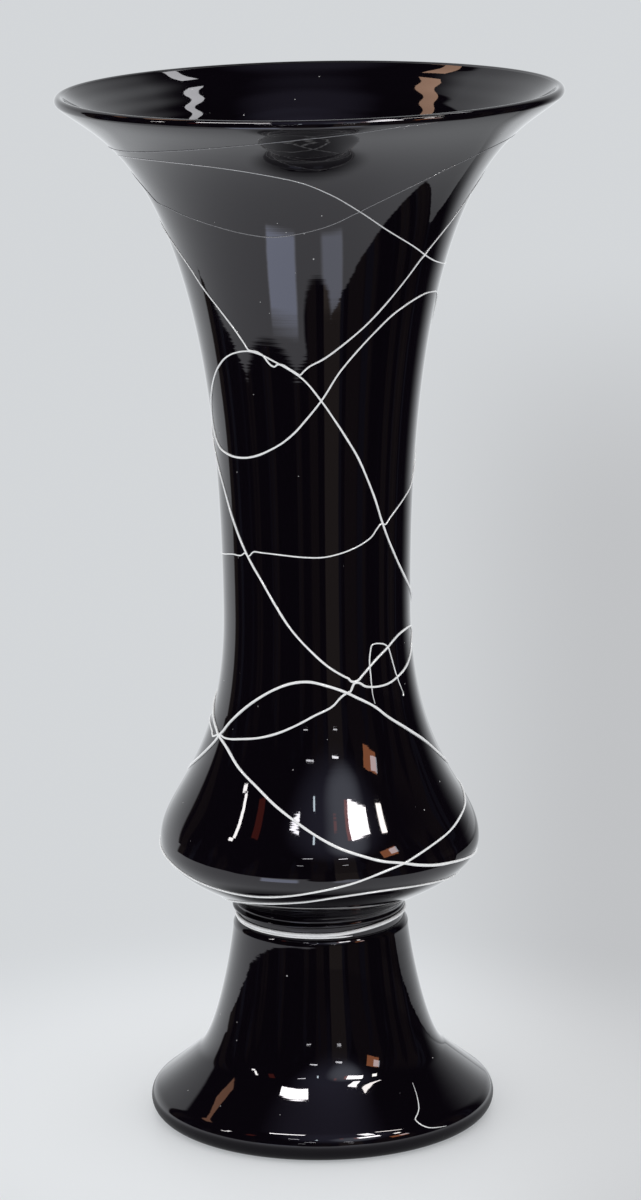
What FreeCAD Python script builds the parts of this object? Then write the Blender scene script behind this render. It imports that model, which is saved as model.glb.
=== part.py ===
import FreeCAD, Part
import math
import os
from collections import namedtuple

# A hand-blown trumpet vase: a flared bowl, a small collar and a hollow bell foot of dark glass,
# with a wound ring of white glass at the waist and white glass trails laid over the outside.
# Lengths are millimetres. The origin is the centre of the resting ring, +Z is up.

# Lean of a level heading, in degrees outwards from straight up
outward = 90

# Whole vase
vase_height = 508.0
mouth_radius = 120.3

# Bell foot
foot_height = 99.8
foot_radius = 85.0
foot_edge_radius = 8.0
foot_edge_lean = -37.0
ground_ring_width = 5.0
skirt_radius = 61.3
skirt_level = 31.6
skirt_lean = -46.0
foot_neck_radius = 43.2
foot_neck_drop = 3.2
foot_neck_lean = -4.0
foot_wall = 6.0
foot_crown_wall = 8.0
hollow_neck_drop = 21.8
hollow_neck_radius = 39.0
hollow_neck_lean = -8.0

# Collar, with the spool that carries the winding
collar_height = 7.7
collar_radius = 43.4
spool_radius = 40.9
spool_height = 5.2

# Trumpet bowl, from its seat on the collar up to the lip
bowl_neck_radius = 41.5
bowl_neck_lean = -19.0
bulb_radius = 78.4
bulb_rise = 35.3
stem_radius = 45.6
stem_rise = 147.8
lip_lean = 47.0
lip_thickness = 4.6
bulb_wall = 5.5
stem_wall = 6.0
bulb_floor = 9.5

# How far each outline holds its heading as it leaves a station below and comes to the one above,
# as shares of the straight distance between the two
bowl_neck_sweep_shares = (0.143, 0.345)
bulb_sweep_shares = (0.204, 0.654)
stem_sweep_shares = (0.858, 0.0985)
floor_sweep_shares = (0.62, 0.194)
foot_edge_sweep_shares = (0.276, 0.462)
skirt_sweep_shares = (0.207, 0.148)
foot_shoulder_sweep_shares = (0.4, 0.2)
hollow_rim_sweep_shares = (0.386, 0.386)
hollow_skirt_sweep_shares = (0.223, 0.186)
hollow_crown_sweep_shares = (0.242, 0.483)

# Trails and winding
trail_width = 1.45
sweep_width = 1.65
fine_width = 0.95
seat_clearance = 0.18
lay_clearance = 0.15
lift_run = 2.6
tail_length = 14.0
tail_tip_share = 0.35
path_step = 0.6
own_run = 9.0
chord_error = 0.08
bend_limit = 15.0
winding_wire = 1.3
winding_pitch = 1.75
winding_turns = 2
winding_clearance = 0.1

# Levels and radii worked out from the sizes above
bowl_seat = foot_height + collar_height
bowl_height = vase_height - bowl_seat
ground_ring_outer = foot_radius - foot_edge_radius
ground_ring_inner = ground_ring_outer - ground_ring_width

Station = namedtuple("Station", "radius level lean")
Trail = namedtuple("Trail", "width outline base height route_shares")
Laid = namedtuple("Laid", "point normal heading width lift run")

# Routes of the trails: degrees round the vase from its front, and share of the height of their piece
shoulder_route_shares = (
    (165, 0.782), (140, 0.778), (110, 0.783), (85, 0.793), (72, 0.799), (60.5, 0.808), (52.5, 0.818),
    (47.5, 0.826), (28.5, 0.858), (16.5, 0.884), (5.5, 0.908), (-2.5, 0.922), (-12.5, 0.932),
    (-28, 0.941), (-43, 0.943), (-66, 0.939), (-90, 0.928), (-120, 0.905), (-140, 0.895))
flare_arc_route_shares = (
    (155, 0.925), (130, 0.937), (100, 0.946), (78.5, 0.948), (65.5, 0.945), (50, 0.931), (34, 0.909),
    (16.5, 0.882), (7.5, 0.868), (-5.5, 0.857), (-15, 0.853), (-25, 0.856), (-39, 0.864),
    (-52, 0.872), (-61.5, 0.878), (-69, 0.881), (-74, 0.892), (-84, 0.909), (-102, 0.917))
rim_route_shares = (
    (29, 0.995), (18.5, 0.992), (10, 0.987), (0, 0.982), (-12.5, 0.975), (-38, 0.96), (-63, 0.948),
    (-90, 0.942), (-140, 0.938), (-200, 0.936))
neck_loop_route_shares = (
    (200, 0.581), (160, 0.608), (130, 0.64), (105, 0.685), (92, 0.722), (86, 0.746), (80, 0.759),
    (68, 0.766), (61, 0.767), (52, 0.763), (40, 0.75), (30, 0.73), (21, 0.708), (13.5, 0.687),
    (3.5, 0.651), (-5, 0.627), (-11, 0.612), (-18, 0.599), (-26.5, 0.588), (-33.5, 0.581),
    (-41.5, 0.576), (-50, 0.574), (-59, 0.575), (-69, 0.58), (-75, 0.59), (-78, 0.609),
    (-75, 0.632), (-69.5, 0.651), (-63, 0.669), (-56, 0.685), (-48.5, 0.698), (-40.5, 0.706),
    (-33, 0.709), (-26, 0.705), (-20.5, 0.7), (-14, 0.692), (-7, 0.681), (3.5, 0.651),
    (10, 0.629), (17.5, 0.603), (24.5, 0.578), (30.5, 0.552), (37, 0.522), (42, 0.496),
    (50, 0.464), (61, 0.432), (71.5, 0.41), (87, 0.387), (110, 0.358), (135, 0.336), (160, 0.322))
vee_route_shares = (
    (-160, 0.884), (-135, 0.879), (-108, 0.866), (-83.5, 0.844), (-71.5, 0.824), (-64, 0.806),
    (-57, 0.783), (-48, 0.758), (-40.5, 0.737), (-36.5, 0.724), (-33, 0.7165), (-28, 0.711),
    (-25, 0.705), (-23.5, 0.697), (-20.5, 0.6905), (-17.8, 0.693), (-15.5, 0.698), (-11.5, 0.694),
    (-7.5, 0.6875), (-2.5, 0.693), (6, 0.707), (15.5, 0.721), (25, 0.74), (36.5, 0.769),
    (45, 0.794), (52.5, 0.818), (57.5, 0.831), (63.5, 0.846), (73, 0.87), (79, 0.888), (88, 0.904),
    (105, 0.916), (125, 0.919))
stem_sweep_route_shares = (
    (-130, 0.635), (-106, 0.614), (-90, 0.59), (-78, 0.56), (-68.5, 0.533), (-58.5, 0.496),
    (-47.5, 0.46), (-44, 0.45), (-35, 0.426), (-27, 0.402), (-15.5, 0.369), (-4.5, 0.345),
    (7.5, 0.323), (17, 0.309), (20.5, 0.3045), (25, 0.308), (32.5, 0.32), (46.5, 0.338),
    (54, 0.348), (63, 0.352), (73, 0.352), (83, 0.348), (88, 0.339), (84, 0.328), (73, 0.316),
    (64, 0.307), (52.5, 0.298), (41.5, 0.294), (32.5, 0.295), (26, 0.3), (21.5, 0.3), (18.5, 0.2925),
    (13, 0.285), (8.5, 0.278), (-2, 0.267), (-14, 0.253), (-24, 0.243), (-34, 0.236), (-45, 0.231),
    (-53, 0.2275), (-58, 0.2265), (-64.5, 0.2275), (-68, 0.224), (-71, 0.2215), (-74, 0.2255),
    (-79.5, 0.229), (-87, 0.231), (-105, 0.231), (-128, 0.225), (-150, 0.216))
fine_stem_route_shares = (
    (-130, 0.43), (-100, 0.438), (-75, 0.445), (-60, 0.451), (-51, 0.453), (-47.5, 0.457),
    (-44.5, 0.454), (-41, 0.46), (-34, 0.461), (-24, 0.461), (-14.5, 0.46), (-5.5, 0.459), (3.5, 0.459),
    (12.5, 0.462), (20, 0.466), (28, 0.472), (35, 0.48), (38.5, 0.488), (41.5, 0.493), (45, 0.491),
    (48.5, 0.497), (55.5, 0.507), (65.5, 0.518), (73.5, 0.526), (83, 0.545), (95, 0.572), (115, 0.598))
bulb_arch_route_shares = (
    (-145, 0.138), (-120, 0.145), (-100, 0.161), (-86.5, 0.179), (-75.5, 0.198), (-69, 0.212),
    (-62, 0.23), (-57.5, 0.243), (-52, 0.255), (-44, 0.27), (-35, 0.284), (-25.5, 0.296),
    (-14.5, 0.305), (-5.5, 0.307), (5, 0.302), (14, 0.295), (23, 0.285), (34, 0.271), (41, 0.258),
    (54.5, 0.237), (72, 0.209), (81.5, 0.191), (91, 0.175), (105, 0.16), (125, 0.152), (150, 0.15))
bulb_sweep_route_shares = (
    (-150, 0.282), (-125, 0.276), (-100, 0.262), (-82, 0.2435), (-63, 0.226), (-54, 0.217),
    (-42, 0.199), (-29, 0.181), (-19, 0.164), (-9.5, 0.148), (-1, 0.133), (7, 0.12), (15, 0.11),
    (23, 0.101), (30, 0.096), (36.5, 0.09), (45, 0.084), (54.5, 0.08), (63.5, 0.076), (77, 0.07),
    (95, 0.065), (120, 0.062), (140, 0.06))
bulb_cross_route_shares = (
    (140, 0.134), (125, 0.137), (105, 0.14), (90, 0.137), (80, 0.13), (68.5, 0.124), (57, 0.116),
    (45, 0.108), (37, 0.101), (32, 0.096), (23, 0.089), (11, 0.078), (-1, 0.069), (-14, 0.06),
    (-28, 0.055), (-40.5, 0.056), (-52.5, 0.06), (-66, 0.068), (-85, 0.077), (-110, 0.083),
    (-135, 0.085))
bulb_under_route_shares = (
    (-95, 0.016), (-75, 0.02), (-51.5, 0.028), (-32.5, 0.039), (-19.5, 0.045), (-7.5, 0.051),
    (7, 0.06), (24.5, 0.064), (39.5, 0.061), (65, 0.052), (85, 0.047), (110, 0.043))
stray_tail_route_shares = (
    (57.5, 0.276), (56, 0.29), (53.5, 0.302), (50.5, 0.322), (48.5, 0.335), (44, 0.343), (38, 0.347),
    (34.5, 0.342), (32.8, 0.33), (32.4, 0.316), (32.6, 0.302), (33.2, 0.286), (33.8, 0.277))
foot_route_shares = (
    (42.5, 0.283), (41.5, 0.255), (39.5, 0.215), (38, 0.192), (36, 0.174), (34, 0.159), (34.5, 0.144),
    (37.5, 0.118), (41.5, 0.107), (45, 0.101))


# Unit direction in the profile plane, leaning outwards from straight up
def heading(lean):
    angle = math.radians(lean)
    return FreeCAD.Vector(math.sin(angle), 0, math.cos(angle))


# Point of the profile plane
def at(radius, level):
    return FreeCAD.Vector(radius, 0, level)


# Smooth stretch of outline from one station up to the next
def swell(low, high, sweep_shares):
    start = at(low.radius, low.level)
    finish = at(high.radius, high.level)
    run = start.distanceToPoint(finish)
    curve = Part.BezierCurve()
    curve.setPoles([
        start,
        start + heading(low.lean) * (run * sweep_shares[0]),
        finish - heading(high.lean) * (run * sweep_shares[1]),
        finish])
    return curve.toShape()


# The same station on the inner side of a wall
def behind_wall(station, wall):
    angle = math.radians(station.lean)
    return Station(
        station.radius - wall * math.cos(angle),
        station.level + wall * math.sin(angle),
        station.lean)


def arc_through(start, middle, finish):
    return Part.Arc(start, middle, finish).toShape()


def straight(start, finish):
    return Part.makeLine(start, finish)


# Solid of revolution about the vase's axis from a closed chain of edges
def turned(edges):
    outline = Part.Wire(Part.sortEdges(edges)[0])
    solid = Part.Face(outline).revolve(FreeCAD.Vector(), FreeCAD.Vector(0, 0, 1), 360)
    return solid


# Rounded lip: its centre, and the outer and inner points where the walls run into it
def lip_centre():
    return at(mouth_radius - lip_thickness / 2, vase_height - lip_thickness / 2)


def lip_station(wall):
    return behind_wall(Station(lip_centre().x, lip_centre().z, lip_lean), wall)


def bulb_station():
    return Station(bulb_radius, bowl_seat + bulb_rise, 0)


def stem_station():
    return Station(stem_radius, bowl_seat + stem_rise, 0)


def bowl_outside():
    neck = Station(bowl_neck_radius, bowl_seat, bowl_neck_lean)
    return [
        swell(neck, bulb_station(), bowl_neck_sweep_shares),
        swell(bulb_station(), stem_station(), bulb_sweep_shares),
        swell(stem_station(), lip_station(-lip_thickness / 2), stem_sweep_shares)]


def lip_edge():
    tip = lip_centre() + heading(lip_lean) * (lip_thickness / 2)
    outer = lip_station(-lip_thickness / 2)
    inner = lip_station(lip_thickness / 2)
    return arc_through(at(outer.radius, outer.level), tip, at(inner.radius, inner.level))


def trumpet_bowl():
    floor_level = bowl_seat + bulb_floor
    floor = Station(0, floor_level, outward)
    bulb_inside = behind_wall(bulb_station(), bulb_wall)
    stem_inside = behind_wall(stem_station(), stem_wall)
    return turned(bowl_outside() + [
        lip_edge(),
        swell(stem_inside, lip_station(lip_thickness / 2), stem_sweep_shares),
        swell(bulb_inside, stem_inside, bulb_sweep_shares),
        swell(floor, bulb_inside, floor_sweep_shares),
        straight(at(0, floor_level), at(0, bowl_seat)),
        straight(at(0, bowl_seat), at(bowl_neck_radius, bowl_seat))])


def collar():
    spool_top = foot_height + spool_height
    bead_middle = (spool_top + bowl_seat) / 2
    return turned([
        straight(at(0, foot_height), at(spool_radius, foot_height)),
        straight(at(spool_radius, foot_height), at(spool_radius, spool_top)),
        arc_through(at(spool_radius, spool_top), at(collar_radius, bead_middle), at(bowl_neck_radius, bowl_seat)),
        straight(at(bowl_neck_radius, bowl_seat), at(0, bowl_seat)),
        straight(at(0, bowl_seat), at(0, foot_height))])


def skirt_station():
    return Station(skirt_radius, skirt_level, skirt_lean)


# Outside of the foot from the widest point of its edge up to the flat top
def foot_outside():
    edge_centre = at(ground_ring_outer, foot_edge_radius)
    edge_angle = math.radians(foot_edge_lean)
    edge_top = edge_centre + at(math.cos(edge_angle), -math.sin(edge_angle)) * foot_edge_radius
    edge_middle = edge_centre + at(math.cos(edge_angle / 2), -math.sin(edge_angle / 2)) * foot_edge_radius
    edge = Station(edge_top.x, edge_top.z, foot_edge_lean)
    neck = Station(foot_neck_radius, foot_height - foot_neck_drop, foot_neck_lean)
    return [
        arc_through(at(foot_radius, foot_edge_radius), edge_middle, edge_top),
        swell(edge, skirt_station(), foot_edge_sweep_shares),
        swell(skirt_station(), neck, skirt_sweep_shares),
        swell(neck, Station(spool_radius, foot_height, -outward), foot_shoulder_sweep_shares)]


def bell_foot():
    under_angle = math.radians(45)
    under_middle = at(ground_ring_outer, foot_edge_radius) + at(
        math.sin(under_angle), -math.cos(under_angle)) * foot_edge_radius
    rim = Station(ground_ring_inner, 0, skirt_lean / 2)
    skirt_inside = behind_wall(skirt_station(), foot_wall)
    neck_inside = Station(hollow_neck_radius, foot_height - hollow_neck_drop, hollow_neck_lean)
    crown_level = foot_height - foot_crown_wall
    crown = Station(0, crown_level, -outward)
    return turned(foot_outside() + [
        arc_through(at(ground_ring_outer, 0), under_middle, at(foot_radius, foot_edge_radius)),
        straight(at(ground_ring_inner, 0), at(ground_ring_outer, 0)),
        swell(rim, skirt_inside, hollow_rim_sweep_shares),
        swell(skirt_inside, neck_inside, hollow_skirt_sweep_shares),
        swell(neck_inside, crown, hollow_crown_sweep_shares),
        straight(at(0, crown_level), at(0, foot_height)),
        straight(at(0, foot_height), at(spool_radius, foot_height))])


# Rising samples of an outline, each with its level, radius and lean
def outline_samples(edges):
    samples = []
    for edge in edges:
        count = 160
        low, high = edge.ParameterRange
        for index in range(count + 1):
            place = low + (high - low) * index / count
            point = edge.valueAt(place)
            along = edge.tangentAt(place)
            lean = math.atan2(along.x, along.z)
            if not samples or point.z > samples[-1][0]:
                samples.append((point.z, point.x, lean))
    return samples


# Radius and lean of an outline at a level
def outline_at(samples, level):
    low = 0
    high = len(samples) - 1
    while high - low > 1:
        middle = (low + high) // 2
        if samples[middle][0] > level:
            high = middle
        else:
            low = middle
    before = samples[low]
    after = samples[high]
    part = min(1, max(0, (level - before[0]) / (after[0] - before[0])))
    radius = before[1] + part * (after[1] - before[1])
    lean = before[2] + part * (after[2] - before[2])
    return radius, lean


# Point of the glass and its outward direction, at an angle from the front and a level
def on_glass(samples, turn, level):
    radius, lean = outline_at(samples, level)
    point = FreeCAD.Vector(radius * math.sin(turn), -radius * math.cos(turn), level)
    normal = FreeCAD.Vector(
        math.cos(lean) * math.sin(turn), -math.cos(lean) * math.cos(turn), -math.sin(lean))
    return point, normal


# Hot trails were drawn thinner where the flare opened out after they were laid
def drawn_share(radius, level):
    if level < bowl_seat + stem_rise:
        return 1
    return stem_radius / radius


# Lift needed to pass over the trails that already lie near a point
def lift_over(laid, point, width, run, own):
    lift = 0
    for other in laid:
        if own and run - other.run < own_run:
            continue
        reach = (width + other.width) / 2
        gap = point.distanceToPoint(other.point)
        if gap > reach + lift_run:
            continue
        part = min(1, max(0, (reach + lift_run - gap) / lift_run))
        ease = part * part * (3 - 2 * part)
        lift = max(lift, ease * (other.lift + other.width / 2 + lay_clearance))
    return lift


def cell_of(point):
    size = sweep_width + lift_run
    return (int(point.x // size), int(point.y // size), int(point.z // size))


def neighbours(grid, point):
    x, y, z = cell_of(point)
    found = []
    for i in (x - 1, x, x + 1):
        for j in (y - 1, y, y + 1):
            for k in (z - 1, z, z + 1):
                found.extend(grid.get((i, j, k), ()))
    return found


# A trail as close samples on the glass, lifted over the trails laid before it
def lay(trail, grid):
    knots = []
    for degrees, share in trail.route_shares:
        knots.append(FreeCAD.Vector(
            math.radians(degrees) * stem_radius, trail.base + share * trail.height, 0))
    curve = Part.BSplineCurve()
    curve.interpolate(knots)
    flat_path = curve.discretize(Distance=path_step)
    spots = [on_glass(trail.outline, flat.x / stem_radius, flat.y) for flat in flat_path]
    total = sum(a[0].distanceToPoint(b[0]) for a, b in zip(spots, spots[1:]))
    path = []
    own_grid = {}
    run = 0
    for index, (point, normal) in enumerate(spots):
        before = spots[max(index - 1, 0)][0]
        after = spots[min(index + 1, len(spots) - 1)][0]
        run = run + point.distanceToPoint(before)
        radius = math.hypot(point.x, point.y)
        to_end = min(run, total - run, tail_length) / tail_length
        width = trail.width * drawn_share(radius, point.z) * (tail_tip_share + (1 - tail_tip_share) * to_end)
        lift = max(
            lift_over(neighbours(grid, point), point, width, run, False),
            lift_over(neighbours(own_grid, point), point, width, run, True))
        sample = Laid(point, normal, (after - before).normalize(), width, lift, run)
        own_grid.setdefault(cell_of(point), []).append(sample)
        path.append(sample)
    for sample in path:
        grid.setdefault(cell_of(sample.point), []).append(sample)
    return path


def raised(sample):
    return sample.point + sample.normal * (seat_clearance + sample.lift)


# Fewest samples whose straight runs stay within the chord error and the bend limit
def thinned(path):
    kept = [path[0]]
    start = 0
    for index in range(1, len(path)):
        first = raised(path[start])
        last = raised(path[index])
        run = last - first
        stray = 0
        for middle in range(start + 1, index):
            offset = raised(path[middle]) - first
            stray = max(stray, offset.cross(run).Length / run.Length)
        bend = math.degrees(path[start].heading.getAngle(path[index].heading))
        if stray > chord_error or bend > bend_limit:
            kept.append(path[index - 1])
            start = index - 1
    kept.append(path[-1])
    return kept


# Half-round bead section standing on the glass, flat side down
def bead_section(sample):
    across = sample.normal.cross(sample.heading).normalize()
    foot = raised(sample)
    corners = []
    for degrees in (0, 60, 120, 180):
        angle = math.radians(degrees)
        corners.append(
            foot + across * (math.cos(angle) * sample.width / 2)
            + sample.normal * (math.sin(angle) * sample.width / 2))
    return Part.makePolygon(corners + corners[:1])


def trail_solid(trail, grid):
    path = thinned(lay(trail, grid))
    sections = [bead_section(sample) for sample in path]
    return Part.makeLoft(sections, True, True)


# Point on the centre line of the winding, after some turns of its helix from the back
def winding_point(turns):
    radius = spool_radius + winding_clearance + winding_wire / 2
    climb = winding_turns * winding_pitch + winding_wire
    first_level = foot_height + (spool_height - climb) / 2 + winding_wire / 2
    angle = math.tau * (turns + 0.5)
    return FreeCAD.Vector(
        radius * math.sin(angle), -radius * math.cos(angle), first_level + winding_pitch * turns)


# Two close turns of white glass thread on the spool, as one unbroken tube
def waist_winding():
    quarters = winding_turns * 4
    runs = []
    for index in range(quarters):
        runs.append(arc_through(
            winding_point(index / 4), winding_point((index + 0.5) / 4), winding_point((index + 1) / 4)))
    start = winding_point(0)
    along = runs[0].tangentAt(runs[0].FirstParameter)
    ring = Part.Wire(Part.makeCircle(winding_wire / 2, start, along))
    print("least gap of the winding to itself, mm:", round(least_winding_gap(), 2))
    return Part.Wire(runs).makePipeShell([ring], True, False)


def least_winding_gap():
    count = 72
    points = [winding_point(index / count) for index in range(winding_turns * count + 1)]
    nearest = winding_pitch
    for index, point in enumerate(points):
        for other in points[index + count // 2:]:
            nearest = min(nearest, point.distanceToPoint(other))
    return nearest - winding_wire


def bowl_trail(width, route_shares):
    return Trail(width, outline_samples(bowl_outside() + [lip_edge()]), bowl_seat, bowl_height, route_shares)


def foot_trail(width, route_shares):
    return Trail(width, outline_samples(foot_outside()), 0, foot_height, route_shares)


os.makedirs("parts", exist_ok=True)
nodes = {
    "bell_foot": bell_foot(),
    "collar": collar(),
    "trumpet_bowl": trumpet_bowl(),
    "waist_winding": waist_winding()}
trails = {
    "shoulder_trail": bowl_trail(trail_width, shoulder_route_shares),
    "flare_arc_trail": bowl_trail(fine_width, flare_arc_route_shares),
    "rim_trail": bowl_trail(trail_width, rim_route_shares),
    "neck_loop_trail": bowl_trail(trail_width, neck_loop_route_shares),
    "vee_trail": bowl_trail(trail_width, vee_route_shares),
    "stem_sweep_trail": bowl_trail(trail_width, stem_sweep_route_shares),
    "fine_stem_trail": bowl_trail(fine_width, fine_stem_route_shares),
    "bulb_arch_trail": bowl_trail(sweep_width, bulb_arch_route_shares),
    "bulb_sweep_trail": bowl_trail(sweep_width, bulb_sweep_route_shares),
    "bulb_cross_trail": bowl_trail(trail_width, bulb_cross_route_shares),
    "bulb_under_trail": bowl_trail(trail_width, bulb_under_route_shares),
    "stray_tail_trail": bowl_trail(fine_width, stray_tail_route_shares),
    "foot_trail": foot_trail(fine_width, foot_route_shares)}
laid_trails = {}
for name, trail in trails.items():
    nodes[name] = trail_solid(trail, laid_trails)
for name, shape in nodes.items():
    print(name, "valid" if shape.isValid() else "not valid", "volume", round(shape.Volume, 1))
    shape.exportStep("parts/" + name + ".step")
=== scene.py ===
import math
from collections import namedtuple

import bmesh
import bpy
from mathutils import Matrix, Quaternion, Vector, kdtree, noise
from mathutils.geometry import interpolate_bezier


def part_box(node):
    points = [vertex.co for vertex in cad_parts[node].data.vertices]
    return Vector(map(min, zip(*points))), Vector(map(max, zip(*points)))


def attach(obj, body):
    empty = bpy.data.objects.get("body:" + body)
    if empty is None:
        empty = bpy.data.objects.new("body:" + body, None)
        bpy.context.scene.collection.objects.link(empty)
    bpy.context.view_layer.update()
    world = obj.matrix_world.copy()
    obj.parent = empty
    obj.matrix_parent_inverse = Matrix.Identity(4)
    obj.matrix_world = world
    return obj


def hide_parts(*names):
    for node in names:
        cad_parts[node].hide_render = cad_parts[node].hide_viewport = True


bl_info = {
    "name": "Trumpet vase glasswork",
    "version": (1, 0, 0),
    "blender": (4, 5, 0),
    "location": "3D View > Sidebar > Vase",
    "description": "Blown black glass, white glass trails and a plain studio for a trumpet vase",
    "category": "Object",
}

# Lengths are metres, turns and leans are degrees, and a turn of 0 is the front of the vase. The frame
# is loaded first, so that the glass starts from its sizes.
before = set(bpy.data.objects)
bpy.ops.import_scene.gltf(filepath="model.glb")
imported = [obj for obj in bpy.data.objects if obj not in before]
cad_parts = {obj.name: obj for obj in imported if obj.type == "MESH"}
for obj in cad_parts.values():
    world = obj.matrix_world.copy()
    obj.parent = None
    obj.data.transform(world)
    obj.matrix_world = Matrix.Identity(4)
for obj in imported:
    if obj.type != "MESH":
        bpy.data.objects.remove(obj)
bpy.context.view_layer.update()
bowl_low, bowl_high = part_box("trumpet_bowl")
foot_low, foot_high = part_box("bell_foot")

Station = namedtuple("Station", "radius level lean")
Outline = namedtuple("Outline", "base height samples")
Thread = namedtuple("Thread", "node width faint route_shares")
Spot = namedtuple("Spot", "point normal")
Lamp = namedtuple("Lamp", "name turn climb roll distance width height glow colour")
Glow = namedtuple("Glow", "turn climb edge most colour")
Band = namedtuple("Band", "scale low high colour")
Strip = namedtuple("Strip", "slopes distances strength")

# How far an outline holds its heading at its lower and upper station, as shares of the run between them
bowl_neck_sweep_shares = (0.143, 0.345)
bulb_sweep_shares = (0.204, 0.654)
stem_sweep_shares = (0.858, 0.0985)
floor_sweep_shares = (0.62, 0.194)
foot_edge_sweep_shares = (0.33, 0.33)
skirt_sweep_shares = (0.207, 0.148)
foot_shoulder_sweep_shares = (0.4, 0.2)
hollow_rim_sweep_shares = (0.386, 0.386)
hollow_skirt_sweep_shares = (0.223, 0.186)
hollow_crown_sweep_shares = (0.242, 0.483)
bead_sweep_shares = (0.4, 0.4)

# In how many pieces each run of an outline is drawn
bowl_neck_pieces = 90
bulb_pieces = 70
flare_pieces = 120
lip_pieces = 16
inner_flare_pieces = 140
inner_bulb_pieces = 40
floor_pieces = 30
foot_edge_pieces = 24
low_skirt_pieces = 30
skirt_pieces = 60
foot_shoulder_pieces = 12
hollow_crown_pieces = 24
hollow_skirt_pieces = 30
hollow_rim_pieces = 20
bead_pieces = 8
spool_level_shares = (0.25, 0.5, 0.75)

# How round the threads are drawn, and over how many steps the winding's ends taper
thread_rounding = 3
winding_rounding = 4
winding_end_steps = 5

# Routes of the trails: turn from the front, and share of the height of the piece they lie on
shoulder_route_shares = (
    (165, 0.782), (140, 0.778), (110, 0.783), (85, 0.793), (72, 0.799), (60.5, 0.808), (52.5, 0.818),
    (47.5, 0.826), (28.5, 0.858), (16.5, 0.884), (5.5, 0.908), (-2.5, 0.922), (-12.5, 0.932),
    (-28, 0.941), (-43, 0.943), (-66, 0.939), (-90, 0.928), (-120, 0.905), (-140, 0.895))
flare_arc_route_shares = (
    (155, 0.925), (130, 0.937), (100, 0.946), (78.5, 0.948), (65.5, 0.945), (50, 0.931), (34, 0.909),
    (16.5, 0.882), (7.5, 0.868), (-5.5, 0.857), (-15, 0.853), (-25, 0.856), (-39, 0.864),
    (-52, 0.872), (-61.5, 0.878), (-69, 0.881), (-74, 0.892), (-84, 0.909), (-102, 0.917))
rim_route_shares = (
    (29, 0.995), (18.5, 0.992), (10, 0.987), (0, 0.982), (-12.5, 0.975), (-38, 0.96), (-63, 0.948),
    (-90, 0.942), (-140, 0.938), (-200, 0.936))
neck_loop_route_shares = (
    (200, 0.581), (160, 0.608), (130, 0.64), (105, 0.685), (92, 0.722), (86, 0.746), (80, 0.759),
    (68, 0.766), (61, 0.767), (52, 0.763), (40, 0.75), (30, 0.73), (21, 0.708), (13.5, 0.687),
    (3.5, 0.651), (-5, 0.627), (-11, 0.612), (-18, 0.599), (-26.5, 0.588), (-33.5, 0.581),
    (-41.5, 0.576), (-50, 0.574), (-59, 0.575), (-69, 0.58), (-75, 0.59), (-78, 0.609),
    (-75, 0.632), (-69.5, 0.651), (-63, 0.669), (-56, 0.685), (-48.5, 0.698), (-40.5, 0.706),
    (-33, 0.709), (-26, 0.7055), (-20.5, 0.6995), (-14, 0.6915), (-7, 0.6805), (3.5, 0.651),
    (10, 0.629), (17.5, 0.603), (24.5, 0.578), (30.5, 0.552), (37, 0.522), (42, 0.496),
    (50, 0.464), (61, 0.432), (71.5, 0.41), (87, 0.387), (110, 0.358), (135, 0.336), (160, 0.322))
vee_route_shares = (
    (-160, 0.884), (-135, 0.879), (-108, 0.866), (-83.5, 0.844), (-71.5, 0.824), (-64, 0.806),
    (-57, 0.783), (-48, 0.758), (-40.5, 0.736), (-35.6, 0.719), (-33.2, 0.711), (-28.5, 0.7095),
    (-25, 0.7045), (-23.4, 0.6985), (-21.8, 0.694), (-19.8, 0.6922), (-18.4, 0.6952), (-16, 0.6955),
    (-12.2, 0.6905), (-9.2, 0.6862), (-7, 0.6832), (-5.3, 0.687), (-3, 0.692), (4.4, 0.7017),
    (15.5, 0.721), (25, 0.74), (36.5, 0.769), (45, 0.794), (52.5, 0.818), (57.5, 0.831),
    (63.5, 0.846), (73, 0.87), (79, 0.888), (88, 0.904), (105, 0.916), (125, 0.919))
stem_sweep_route_shares = (
    (-130, 0.635), (-106, 0.614), (-90, 0.59), (-78, 0.56), (-68.5, 0.533), (-58.5, 0.496),
    (-47.5, 0.46), (-44, 0.45), (-35, 0.426), (-27, 0.402), (-15.5, 0.369), (-4.5, 0.345),
    (7.5, 0.323), (16.2, 0.3115), (18.4, 0.309), (19.4, 0.306), (21, 0.3047), (23.7, 0.3055),
    (27.6, 0.312), (39.1, 0.33), (47, 0.3388), (53.2, 0.3458), (59, 0.3502), (66, 0.352),
    (75, 0.352), (83, 0.348), (86, 0.34), (82, 0.333), (77, 0.3215), (70, 0.312), (63.7, 0.306),
    (54, 0.2997), (47, 0.2958), (39, 0.2945), (32.8, 0.2955), (28, 0.298), (25, 0.3025),
    (21.8, 0.303), (20.3, 0.2985), (19, 0.2935), (16.5, 0.2918), (13.5, 0.288), (8.5, 0.278),
    (-2, 0.267), (-14, 0.253), (-24, 0.243), (-34, 0.236), (-45, 0.231),
    (-53, 0.2275), (-58, 0.2265), (-64.5, 0.2275), (-68, 0.224), (-71, 0.2215), (-74, 0.2255),
    (-79.5, 0.229), (-87, 0.231), (-105, 0.231), (-128, 0.225), (-150, 0.216))
fine_stem_route_shares = (
    (-130, 0.43), (-100, 0.438), (-75, 0.445), (-60, 0.451), (-51, 0.453), (-47.5, 0.457),
    (-44.5, 0.454), (-41, 0.46), (-34, 0.461), (-24, 0.461), (-14.5, 0.46), (-5.5, 0.459), (3.5, 0.459),
    (12.5, 0.462), (20, 0.466), (28, 0.472), (35, 0.48), (38.5, 0.488), (41.5, 0.493), (45, 0.491),
    (48.5, 0.497), (55.5, 0.507), (65.5, 0.518), (73.5, 0.526), (83, 0.545), (95, 0.572), (115, 0.598))
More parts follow.
